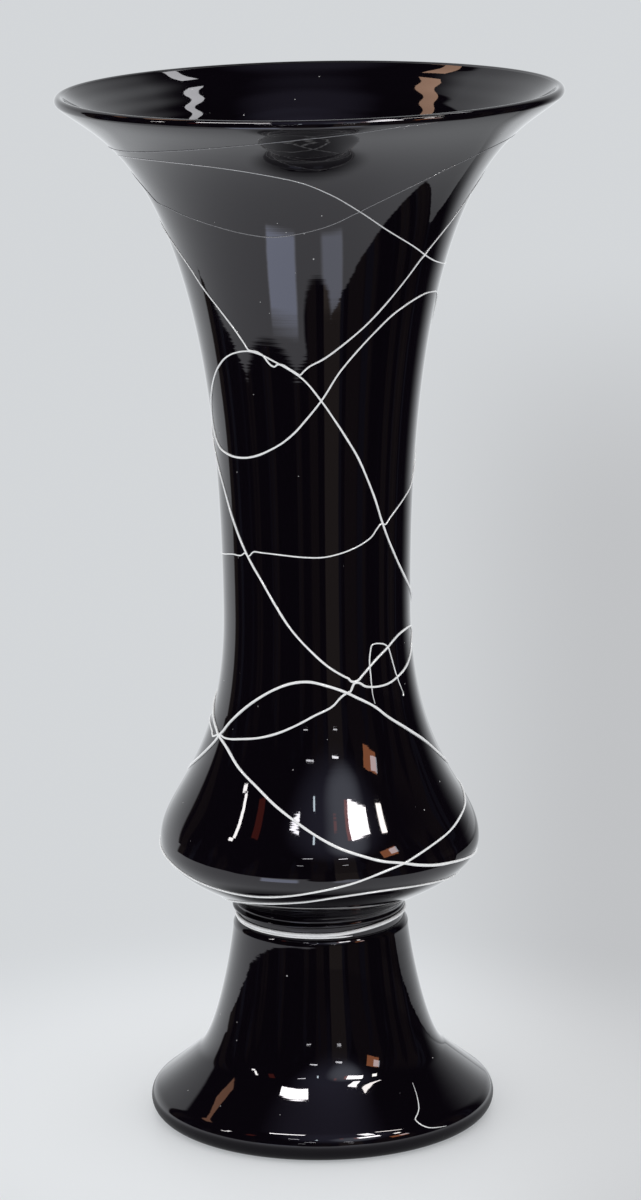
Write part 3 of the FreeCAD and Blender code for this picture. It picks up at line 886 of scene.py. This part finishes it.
def new_group(name, inputs, output):
    group = bpy.data.node_groups.new(name, "ShaderNodeTree")
    for socket_name, default in inputs:
        socket = group.interface.new_socket(socket_name, in_out="INPUT", socket_type="NodeSocketFloat")
        socket.default_value = default
    group.interface.new_socket(output, in_out="OUTPUT", socket_type="NodeSocketFloat")
    return group, node(group, "NodeGroupInput").outputs, node(group, "NodeGroupOutput").inputs[output]


# Fine tool ripples: streaks that run round the glass, close together up its height
def ripple_group():
    name = "tool_ripples"
    if name in bpy.data.node_groups:
        return bpy.data.node_groups[name]
    group, given, height = new_group(
        name, (("Per Metre Up", 700), ("Per Metre Round", 12), ("Depth", 1)), "Height")
    round_it = given["Per Metre Round"]
    scaled = node(group, "ShaderNodeVectorMath", operation="MULTIPLY")
    group.links.new(object_place(group), scaled.inputs[0])
    group.links.new(joined_axes(group, round_it, round_it, given["Per Metre Up"]), scaled.inputs[1])
    streaks = cloud(group, scaled.outputs[0], 1, 2)
    group.links.new(times(group, minus(group, streaks, 0.5), given["Depth"]), height)
    return group


# Dust and lint: sparse round specks, of which only some cells keep one
def dust_group():
    name = "dust_specks"
    if name in bpy.data.node_groups:
        return bpy.data.node_groups[name]
    group, given, mask = new_group(
        name, (("Per Metre", 260), ("Speck Share", 0.08), ("Kept Share", 0.12)), "Mask")
    cells = node(group, "ShaderNodeTexVoronoi", voronoi_dimensions="3D", feature="F1")
    group.links.new(object_place(group), cells.inputs["Vector"])
    group.links.new(given["Per Metre"], cells.inputs["Scale"])
    parts = node(group, "ShaderNodeSeparateColor")
    group.links.new(cells.outputs["Color"], parts.inputs["Color"])
    size = times(group, parts.outputs["Green"], given["Speck Share"])
    inside = math_node(group, "LESS_THAN", cells.outputs["Distance"], size)
    kept = math_node(group, "LESS_THAN", parts.outputs["Red"], given["Kept Share"])
    group.links.new(times(group, inside, kept), mask)
    return group


# Handling haze: broad soft patches where the polish is a little dulled
def haze_group():
    name = "handling_haze"
    if name in bpy.data.node_groups:
        return bpy.data.node_groups[name]
    group, given, mask = new_group(name, (("Per Metre", 22), ("Cover", 0.5)), "Mask")
    patches = cloud(group, object_place(group), given["Per Metre"], 6, 0.62)
    group.links.new(ramp(group, minus(group, patches, given["Cover"]), 0, 0.25), mask)
    return group


def use_group(tree, group, **values):
    made = node(tree, "ShaderNodeGroup", node_tree=group)
    for name, value in values.items():
        made.inputs[name.replace("_", " ")].default_value = value
    return made.outputs[0]


def new_material(name):
    material = bpy.data.materials.new(name)
    material.use_nodes = True
    tree = material.node_tree
    return material, tree, tree.nodes["Principled BSDF"]


def bumped(tree, shader, height, distance):
    bump = node(tree, "ShaderNodeBump")
    bump.inputs["Strength"].default_value = 1
    bump.inputs["Distance"].default_value = distance
    tree.links.new(height, bump.inputs["Height"])
    tree.links.new(bump.outputs["Normal"], shader.inputs["Normal"])


def black_glass():
    name = "black_violet_glass"
    if name in bpy.data.materials:
        return bpy.data.materials[name]
    glass = look()
    material, tree, shader = new_material(name)
    shader.inputs["IOR"].default_value = glass.bending
    shader.inputs["Specular Tint"].default_value = (*glass.gloss_cast, 1)
    dust = use_group(tree, dust_group(), Per_Metre=240, Speck_Share=0.09, Kept_Share=0.10)
    haze = use_group(tree, haze_group(), Per_Metre=20, Cover=0.5)
    tree.links.new(mix_colour(tree, dust, glass.black, glass.dust), shader.inputs["Base Color"])
    dulled = plus(tree, times(tree, haze, glass.haze_roughness), glass.gloss)
    rough = plus(tree, dulled, times(tree, dust, glass.dust_roughness))
    tree.links.new(rough, shader.inputs["Roughness"])
    fine = use_group(tree, ripple_group(), Per_Metre_Up=650, Per_Metre_Round=9, Depth=0.45)
    broad = use_group(tree, ripple_group(), Per_Metre_Up=60, Per_Metre_Round=14, Depth=5)
    bumped(tree, shader, plus(tree, fine, broad), glass.black_bump)
    return material


def white_glass(name, drawn_colour, low_colour):
    if name in bpy.data.materials:
        return bpy.data.materials[name]
    glass = look()
    material, tree, shader = new_material(name)
    level = axes(tree, object_place(tree))[2]
    drawn = ramp(tree, level, glass.fade_start, glass.fade_end)
    haze = use_group(tree, haze_group(), Per_Metre=160, Cover=0.42)
    body = mix_colour(tree, drawn, low_colour, drawn_colour)
    greyed = mix_colour(tree, times(tree, haze, glass.white_haze), body, drawn_colour)
    tree.links.new(greyed, shader.inputs["Base Color"])
    rough = ramp(tree, haze, 0, 1, glass.white_gloss, glass.white_dull)
    tree.links.new(rough, shader.inputs["Roughness"])
    ripples = use_group(tree, ripple_group(), Per_Metre_Up=900, Per_Metre_Round=900, Depth=1)
    bumped(tree, shader, ripples, glass.white_bump)
    return material


# Stage and light

def towards(turn, climb):
    turn = math.radians(turn)
    climb = math.radians(climb)
    return Vector((math.sin(turn) * math.cos(climb), -math.cos(turn) * math.cos(climb), math.sin(climb)))


# Softboxes by turn from the front, climb above the level and roll, at a distance from the middle of
# the vase. They are there for the gloss, and the even light of the room does the rest.
lamps = (
    Lamp("key_softbox", 36, 40, 0, 2.6, 0.62, 0.34, 34, (1, 0.99, 0.97)),
    Lamp("right_strip", 57.5, 36, -12, 2.6, 0.19, 0.26, 26, (1, 0.97, 0.90)),
    Lamp("left_strip_low", -74, 25, 12, 2.6, 0.16, 0.10, 22, (1, 0.99, 0.95)),
    Lamp("left_strip_high", -72.5, 30.5, 4, 2.6, 0.10, 0.34, 22, (1, 0.99, 0.95)),
    Lamp("left_blade", -23, 40.6, -6, 2.6, 0.30, 0.045, 26, (0.97, 0.98, 1)),
    Lamp("tube_front", -5, 38, 0, 2.7, 0.06, 0.20, 14, (0.80, 0.95, 1)),
    Lamp("tube_left", -9, 22.5, 3, 2.8, 0.34, 0.03, 22, (0.97, 0.99, 1)),
    Lamp("tube_right", 17, 20.5, 0, 2.8, 0.30, 0.03, 22, (0.97, 0.99, 1)),
    Lamp("low_tube_left", -14, 11, 0, 2.8, 0.22, 0.025, 12, (0.97, 0.99, 1)),
    Lamp("low_tube_right", 18, 11, 0, 2.8, 0.20, 0.025, 12, (0.97, 0.99, 1)),
    Lamp("window_frame", 53, 19.5, 6, 2.9, 0.62, 0.44, 4.0, (1, 0.36, 0.15)),
    Lamp("window_pane", 57, 20.5, 6, 2.8, 0.30, 0.28, 6.5, (0.85, 0.93, 1)),
    Lamp("red_post_left", -56, 36, 6, 2.7, 0.24, 0.40, 0.7, (1, 0.16, 0.08)),
    Lamp("red_post_right", 14.5, 43.5, 0, 2.7, 0.10, 0.26, 1.4, (1, 0.20, 0.10)),
    Lamp("red_post_edge", 26, 40, 0, 2.65, 0.14, 0.32, 2.4, (1, 0.22, 0.12)),
    Lamp("overhead_panel", -47, 63.5, 31, 0.893, 0.30, 0.075, 30, (1, 0.99, 0.97)),
    Lamp("overhead_right", 45, 58, -12, 2.4, 0.24, 0.66, 26, (1, 0.99, 0.97)),
    Lamp("overhead_diagonal", 71, 57, 20, 2.4, 0.12, 0.62, 22, (1, 0.96, 0.9)),
    Lamp("brown_panel", -113, 41.5, 0, 2.6, 0.34, 0.20, 1.8, (1, 0.50, 0.30)),
    Lamp("back_left_strip", 129, 58.6, 17, 2.6, 0.86, 0.17, 6.0, (0.97, 0.98, 1)),
    Lamp("back_right_strip", -129, 56.8, -16, 2.6, 0.86, 0.22, 3.6, (1, 0.62, 0.42)))

# Climbs in degrees between which the backdrop fades out
backdrop_top = (44, 57)

# Lit stretches of the dim front, by turn and climb
room_glows = (
    Glow(16, 52, 0.80, 0.8, (0.32, 0.33, 0.48)),
    Glow(0, 84, 0.90, 0.45, (0.34, 0.33, 0.48)),
    Glow(24, 39, 0.955, 1.0, (1.2, 1.3, 1.5)))

# Dim upright bands of the unlit room, and its one paler pillar
upright_bands = (
    Band(3.4, 0.54, 0.60, (0.042, 0.034, 0.028)),
    Band(7, 0.58, 0.64, (0.028, 0.032, 0.046)))
pillar_colour = (0.14, 0.117, 0.094)

# The table that the gloss sees, in metres to the right and to the back of the vase
table_shift = 0.22
table_half_sizes = (0.63, 0.73)
table_power = 2.4
shaded_middle = (0.05, -0.66)
shaded_half_sizes = (0.16, 0.15)
glare_strips = (
    Strip((-0.84, -0.26), (0.38, 0.70), 1),
    Strip((0.16, 0.52), (0.38, 0.66), 0.6))

# Keeps a divisor above zero
smallest = 0.0001


def add_lamp(lamp, middle):
    light = bpy.data.lights.new(lamp.name, "AREA")
    light.shape = "RECTANGLE"
    light.size = lamp.width
    light.size_y = lamp.height
    light.color = lamp.colour
    light.energy = lamp.glow * math.pi * lamp.width * lamp.height * studio().lamp_power
    made = placed(bpy.data.objects.new(lamp.name, light))
    out = towards(lamp.turn, lamp.climb)
    made.location = middle + out * lamp.distance
    turned = out.to_track_quat("Z", "Y") @ Quaternion((0, 0, 1), math.radians(lamp.roll))
    made.rotation_euler = turned.to_euler()
    made.visible_camera = False
    made.visible_diffuse = False


def add_camera():
    st = studio()
    eye = Vector((0, -st.camera_back, st.camera_level))
    ahead = (Vector((0, 0, st.aim_level)) - eye).normalized()
    right = Vector((1, 0, 0))
    up = right.cross(ahead)
    turned_ahead = math.cos(st.camera_yaw) * ahead + math.sin(st.camera_yaw) * right
    turned_right = math.cos(st.camera_yaw) * right - math.sin(st.camera_yaw) * ahead
    rolled_right = math.cos(st.camera_roll) * turned_right + math.sin(st.camera_roll) * up
    rolled_up = math.cos(st.camera_roll) * up - math.sin(st.camera_roll) * turned_right
    camera = bpy.data.cameras.new("photo_camera")
    camera.sensor_fit = "VERTICAL"
    camera.sensor_height = st.frame_height
    camera.lens = st.lens
    made = placed(bpy.data.objects.new("photo_camera", camera))
    made.matrix_world = Matrix.Translation(eye) @ Matrix(
        (rolled_right, rolled_up, -turned_ahead)).transposed().to_4x4()
    bpy.context.scene.camera = made


# Pale backdrop behind the vase, dim studio in front of it. The eye sees the pale backdrop all round,
# the gloss sees it where it stands, and the fill light is even.
def add_world():
    st = studio()
    world = bpy.data.worlds.new("studio_room")
    world.use_nodes = True
    tree = world.node_tree
    tree.nodes.clear()
    path = node(tree, "ShaderNodeLightPath").outputs
    shine = plus(tree, path["Is Glossy Ray"], path["Is Transmission Ray"])
    by_eye = glowing(tree, "ShaderNodeBackground", st.backdrop, 1)
    even = glowing(tree, "ShaderNodeBackground", (1, 1, 1), st.fill_strength)
    around = mix_shader(tree, shine, even, room_in_gloss(tree))
    whole = mix_shader(tree, path["Is Camera Ray"], around, by_eye)
    tree.links.new(whole, node(tree, "ShaderNodeOutputWorld").inputs["Surface"])
    bpy.context.scene.world = world


# The room as the gloss sees it: the backdrop where it stands, and elsewhere the dim front
def room_in_gloss(tree):
    st = studio()
    direction = node(tree, "ShaderNodeTexCoord").outputs["Generated"]
    x, y, z = axes(tree, direction)
    fade_from, fade_to = (math.sin(math.radians(climb)) for climb in backdrop_top)
    top = ramp(tree, z, fade_from, fade_to, 1, 0)
    mask = times(tree, backdrop_mask(tree, x, y, z), top)
    dim = room_bands(tree, x, y, z)
    for glow in room_glows:
        dim = mix_colour(tree, glow_share(tree, direction, glow), dim, glow.colour)
    gain = ramp(tree, z, -0.05, 0.35, st.gloss_gain, 0.95)
    gain = plus(tree, 1, times(tree, mask, minus(tree, gain, 1)))
    return glowing(tree, "ShaderNodeBackground", mix_colour(tree, mask, dim, st.backdrop), gain)


def flat_reach(tree, x, y):
    return math_node(tree, "SQRT", plus(tree, times(tree, x, x), times(tree, y, y)), 0)


# Shelves and posts of the unlit room: upright bands, brown and blue-grey, and one paler pillar, all of
# which stop at the ceiling
def room_bands(tree, x, y, z):
    reach = math_node(tree, "MAXIMUM", flat_reach(tree, x, y), smallest)
    side = over(tree, x, reach)
    around = joined_axes(tree, side, over(tree, y, reach), times(tree, z, 0.25))
    below_ceiling = ramp(tree, z, 0.35, 0.60, 1, 0)
    shade = studio().shade
    for band in upright_bands:
        share = ramp(tree, cloud(tree, around, band.scale, 2), band.low, band.high)
        shade = mix_colour(tree, times(tree, share, below_ceiling), shade, band.colour)
    pillar = times(tree, ramp(tree, side, 0.17, 0.19), ramp(tree, side, 0.43, 0.45, 1, 0))
    pillar = times(tree, pillar, ramp(tree, y, -0.01, 0, 1, 0))
    return mix_colour(tree, times(tree, pillar, below_ceiling), shade, pillar_colour)


# 1 towards the backdrop, 0 towards the dim front: a hard edge on the left and a soft one on the right
def backdrop_mask(tree, x, y, z):
    facing = over(tree, y, math_node(tree, "MAXIMUM", flat_reach(tree, x, y), smallest))
    hard = ramp(tree, minus(tree, facing, times(tree, z, 0.22)), 0.51, 0.55)
    soft = ramp(tree, facing, 0.56, 0.98)
    return mix_number(tree, math_node(tree, "GREATER_THAN", x, 0), hard, soft)


# A glow round one direction
def glow_share(tree, direction, glow):
    spread = node(tree, "ShaderNodeVectorMath", operation="DOT_PRODUCT")
    tree.links.new(direction, spread.inputs[0])
    spread.inputs[1].default_value = towards(glow.turn, glow.climb)
    return ramp(tree, spread.outputs["Value"], glow.edge, 1.0, 0, glow.most)


def floor_material():
    st = studio()
    material, tree, shader = new_material("pale_table")
    shader.inputs["Roughness"].default_value = 0.32
    shader.inputs["Specular IOR Level"].default_value = 0.1
    x, y, z = axes(tree, object_place(tree))
    haze = use_group(tree, haze_group(), Per_Metre=6, Cover=0.5)
    base = mix_colour(tree, times(tree, haze, 0.03), st.floor, st.backdrop)
    tree.links.new(base, shader.inputs["Base Color"])
    path = node(tree, "ShaderNodeLightPath").outputs
    whole = mix_shader(
        tree, path["Is Glossy Ray"], table_by_eye(tree, shader, x, y), table_in_gloss(tree, x, y, z))
    tree.links.new(whole, tree.nodes["Material Output"].inputs["Surface"])
    return material


# The table is pale where the eye sees it. Close to the foot it takes its light and shadow, with a painted
# glow that lifts that shadow; farther out it is an even colour, with painted shade at the far right.
def table_by_eye(tree, shader, x, y):
    st = studio()
    reach = flat_reach(tree, x, y)
    # Painted shade: this mask darkens the table towards the far right
    ahead = math_node(tree, "MAXIMUM", plus(tree, y, st.camera_back), 1)
    right = ramp(tree, over(tree, x, ahead), 0.005, 0.065)
    right = times(tree, right, ramp(tree, y, 1.2, 2.6, 1, 0))
    right = times(tree, right, ramp(tree, y, -0.7, 0.1))
    right = times(tree, right, ramp(tree, x, 0.6, 1.4, 1, 0))
    # Painted light: close to the foot the table glows brighter than the backdrop
    near = mix_colour(tree, ramp(tree, reach, 0.12, 0.34), st.near_table_painted_light, st.backdrop)
    far = glowing(tree, "ShaderNodeEmission", mix_colour(tree, right, near, st.far_right_painted_shade), 1)
    return mix_shader(tree, ramp(tree, reach, 0.08, 0.30, 0.42, 1), shader.outputs[0], far)


# In the gloss it is a table with an edge, with painted shade close to the foot and at the back right, with
# two strips of glare and one shaded patch in front
def table_in_gloss(tree, x, y, z):
    st = studio()
    reach = flat_reach(tree, x, y)
    # Painted shade in the reflected table: dimmer towards the back right, and close to the foot through
    # the gain
    painted_shade_back_right = times(
        tree, ramp(tree, plus(tree, x, y), 0.15, 1.0, 0, 0.52), ramp(tree, reach, 0.75, 1.05, 1, 0))
    gain = times(tree, ramp(tree, reach, 0.08, 0.16, 0.26, st.gloss_gain), minus(tree, 1, painted_shade_back_right))
    glare = 0
    for strip in glare_strips:
        glare = plus(tree, glare, times(tree, glare_share(tree, x, y, strip), strip.strength))
    gain = plus(tree, gain, times(tree, glare, st.glare_strength))
    table = math_node(tree, "MAXIMUM", table_edge(tree, x, y), backdrop_mask(tree, x, y, -0.25))
    shaded = soft_patch(tree, x, y, shaded_middle, shaded_half_sizes)
    table = times(tree, table, minus(tree, 1, shaded))
    pale = mix_colour(tree, times(tree, glare, 0.7), st.backdrop, st.cool_glare)
    seen = mix_colour(tree, table, room_bands(tree, x, y, z), pale)
    return glowing(tree, "ShaderNodeEmission", seen, gain)


# 1 on the table in front of the backdrop, 0 past its rounded front edge and its cut-off left corner
def table_edge(tree, x, y):
    on_right = math_node(tree, "GREATER_THAN", x, 0)
    pulled_in = times(tree, ramp(tree, y, 0.10, 0.25, 0, 0.25), on_right)
    across = over(tree, plus(tree, x, minus(tree, table_shift, pulled_in)), table_half_sizes[0])
    along = over(tree, y, table_half_sizes[1])
    rounded = plus(tree, size_power(tree, across, table_power), size_power(tree, along, table_power))
    sloped = plus(tree, times(tree, x, 0.64), times(tree, y, 0.77))
    return times(tree, ramp(tree, rounded, 0.98, 1.02, 1, 0), ramp(tree, sloped, -0.73, -0.70))


# A soft-edged oval on the table, by its middle and half sizes
def soft_patch(tree, x, y, middle, half_sizes):
    across = over(tree, minus(tree, x, middle[0]), half_sizes[0])
    along = over(tree, minus(tree, y, middle[1]), half_sizes[1])
    return ramp(tree, flat_reach(tree, across, along), 0.8, 1.05, 1, 0)


# A strip of glare that runs forward from the vase, between two slopes and two distances
def glare_share(tree, x, y, strip):
    slope = over(tree, x, math_node(tree, "MAXIMUM", times(tree, y, -1), smallest))
    reach = flat_reach(tree, x, y)
    low, high = strip.slopes
    near, far = strip.distances
    across = times(
        tree, ramp(tree, slope, low - 0.04, low + 0.04), ramp(tree, slope, high - 0.03, high + 0.03, 1, 0))
    along = times(
        tree, ramp(tree, reach, near - 0.02, near + 0.02), ramp(tree, reach, far - 0.08, far, 1, 0))
    return times(tree, across, along)


def add_floor():
    shape = bmesh.new()
    bmesh.ops.create_circle(shape, cap_ends=True, segments=96, radius=studio().floor_radius)
    mesh = bpy.data.meshes.new("pale_table")
    shape.to_mesh(mesh)
    shape.free()
    mesh.materials.append(floor_material())
    placed(bpy.data.objects.new("pale_table", mesh))


class VASE_OT_bowl(bpy.types.Operator):
    """Blow the trumpet bowl: outside, rounded lip and inside as one turned wall"""

    bl_idname = "vase.bowl"
    bl_label = "Trumpet bowl"

    def execute(self, context):
        s = sizes()
        outer = chained([at(0, s.bowl_seat)], bowl_outside(s), lip_edge(s))
        whole = chained(outer, bowl_inside(s))
        bowl = turned_glass("trumpet_bowl_glass", whole, inside_from=len(outer))
        finished(bowl, "trumpet_bowl", black_glass())
        return {"FINISHED"}


class VASE_OT_collar(bpy.types.Operator):
    """Turn the collar, a low spool with a bead under the bowl"""

    bl_idname = "vase.collar"
    bl_label = "Collar"

    def execute(self, context):
        collar = turned_glass("collar_glass", collar_outline(sizes()), shaped=bead_shaped)
        finished(collar, "collar", black_glass())
        return {"FINISHED"}


class VASE_OT_foot(bpy.types.Operator):
    """Blow the hollow bell foot with its rounded edge and ground ring"""

    bl_idname = "vase.foot"
    bl_label = "Bell foot"

    def execute(self, context):
        s = sizes()
        whole = chained(
            foot_hollow(s),
            foot_outside(s),
            [at(0, s.foot_height)])
        foot = turned_glass("bell_foot_glass", whole)
        finished(foot, "bell_foot", black_glass())
        return {"FINISHED"}


class VASE_OT_winding(bpy.types.Operator):
    """Wind the white thread round the waist"""

    bl_idname = "vase.winding"
    bl_label = "Waist winding"

    def execute(self, context):
        white = white_glass("white_thread_glass", look().drawn_white, look().white)
        finished(winding_curve(), "waist_winding", white)
        return {"FINISHED"}


class VASE_OT_trails(bpy.types.Operator):
    """Trail the white glass threads over the bowl and the foot, in the order they were laid"""

    bl_idname = "vase.trails"
    bl_label = "White trails"

    def execute(self, context):
        s = sizes()
        t = threads()
        bowl = Outline(s.bowl_seat, s.vase_height - s.bowl_seat, outline_samples(
            chained(bowl_outside(s), lip_edge(s))))
        foot = Outline(0, s.foot_height, outline_samples(foot_outside(s)))
        white = white_glass("white_thread_glass", look().drawn_white, look().white)
        faint_white = white_glass("faint_thread_glass", look().faint_white, look().faint_white)
        laid = []
        for thread in (
                Thread("shoulder_trail", t.trail_width, False, shoulder_route_shares),
                Thread("flare_arc_trail", t.fine_width, True, flare_arc_route_shares),
                Thread("rim_trail", t.trail_width, True, rim_route_shares),
                Thread("neck_loop_trail", t.trail_width, False, neck_loop_route_shares),
                Thread("vee_trail", t.trail_width, False, vee_route_shares),
                Thread("stem_sweep_trail", t.trail_width, False, stem_sweep_route_shares),
                Thread("fine_stem_trail", t.fine_width, False, fine_stem_route_shares),
                Thread("bulb_arch_trail", t.sweep_width, False, bulb_arch_route_shares),
                Thread("bulb_sweep_trail", t.sweep_width, False, bulb_sweep_route_shares),
                Thread("bulb_cross_trail", t.trail_width, False, bulb_cross_route_shares),
                Thread("bulb_under_trail", t.trail_width, False, bulb_under_route_shares)):
            made = thread_curve(thread, bowl, laid)
            finished(made, thread.node, faint_white if thread.faint else white)
        stray = Thread("stray_tail_trail", t.fine_width, False, stray_tail_route_shares)
        finished(thread_curve(stray, bowl, laid, blob_share=0.8), stray.node, white)
        lowest = Thread("foot_trail", t.foot_width, False, foot_route_shares)
        finished(thread_curve(lowest, foot, []), lowest.node, white)
        return {"FINISHED"}


class VASE_OT_stage(bpy.types.Operator):
    """Set up the camera, the pale table, the room and the softboxes"""

    bl_idname = "vase.stage"
    bl_label = "Studio"

    def execute(self, context):
        add_camera()
        add_world()
        add_floor()
        middle = Vector((0, 0, studio().aim_level))
        for lamp in lamps:
            add_lamp(lamp, middle)
        context.scene.view_settings.view_transform = "Standard"
        return {"FINISHED"}


class VASE_PT_panel(bpy.types.Panel):
    """Buttons for the pieces of the vase"""

    bl_label = "Trumpet vase"
    bl_space_type = "VIEW_3D"
    bl_region_type = "UI"
    bl_category = "Vase"

    def draw(self, context):
        for step in steps:
            self.layout.operator(step.bl_idname)


steps = (VASE_OT_bowl, VASE_OT_collar, VASE_OT_foot, VASE_OT_winding, VASE_OT_trails, VASE_OT_stage)
groups = {
    "vase_sizes": VaseSizes,
    "vase_hand": HandWork,
    "vase_threads": ThreadSizes,
    "vase_look": GlassLook,
    "vase_studio": StudioLook}


def register():
    for group in groups.values():
        bpy.utils.register_class(group)
    for name, group in groups.items():
        setattr(bpy.types.Scene, name, bpy.props.PointerProperty(type=group))
    for made in (*steps, VASE_PT_panel):
        bpy.utils.register_class(made)


def unregister():
    for made in (VASE_PT_panel, *reversed(steps)):
        bpy.utils.unregister_class(made)
    for name in groups:
        delattr(bpy.types.Scene, name)
    for group in reversed(list(groups.values())):
        bpy.utils.unregister_class(group)


def main():
    register()
    bpy.ops.vase.bowl()
    bpy.ops.vase.collar()
    bpy.ops.vase.foot()
    bpy.ops.vase.winding()
    bpy.ops.vase.trails()
    bpy.ops.vase.stage()


if __name__ == "__main__":
    main()
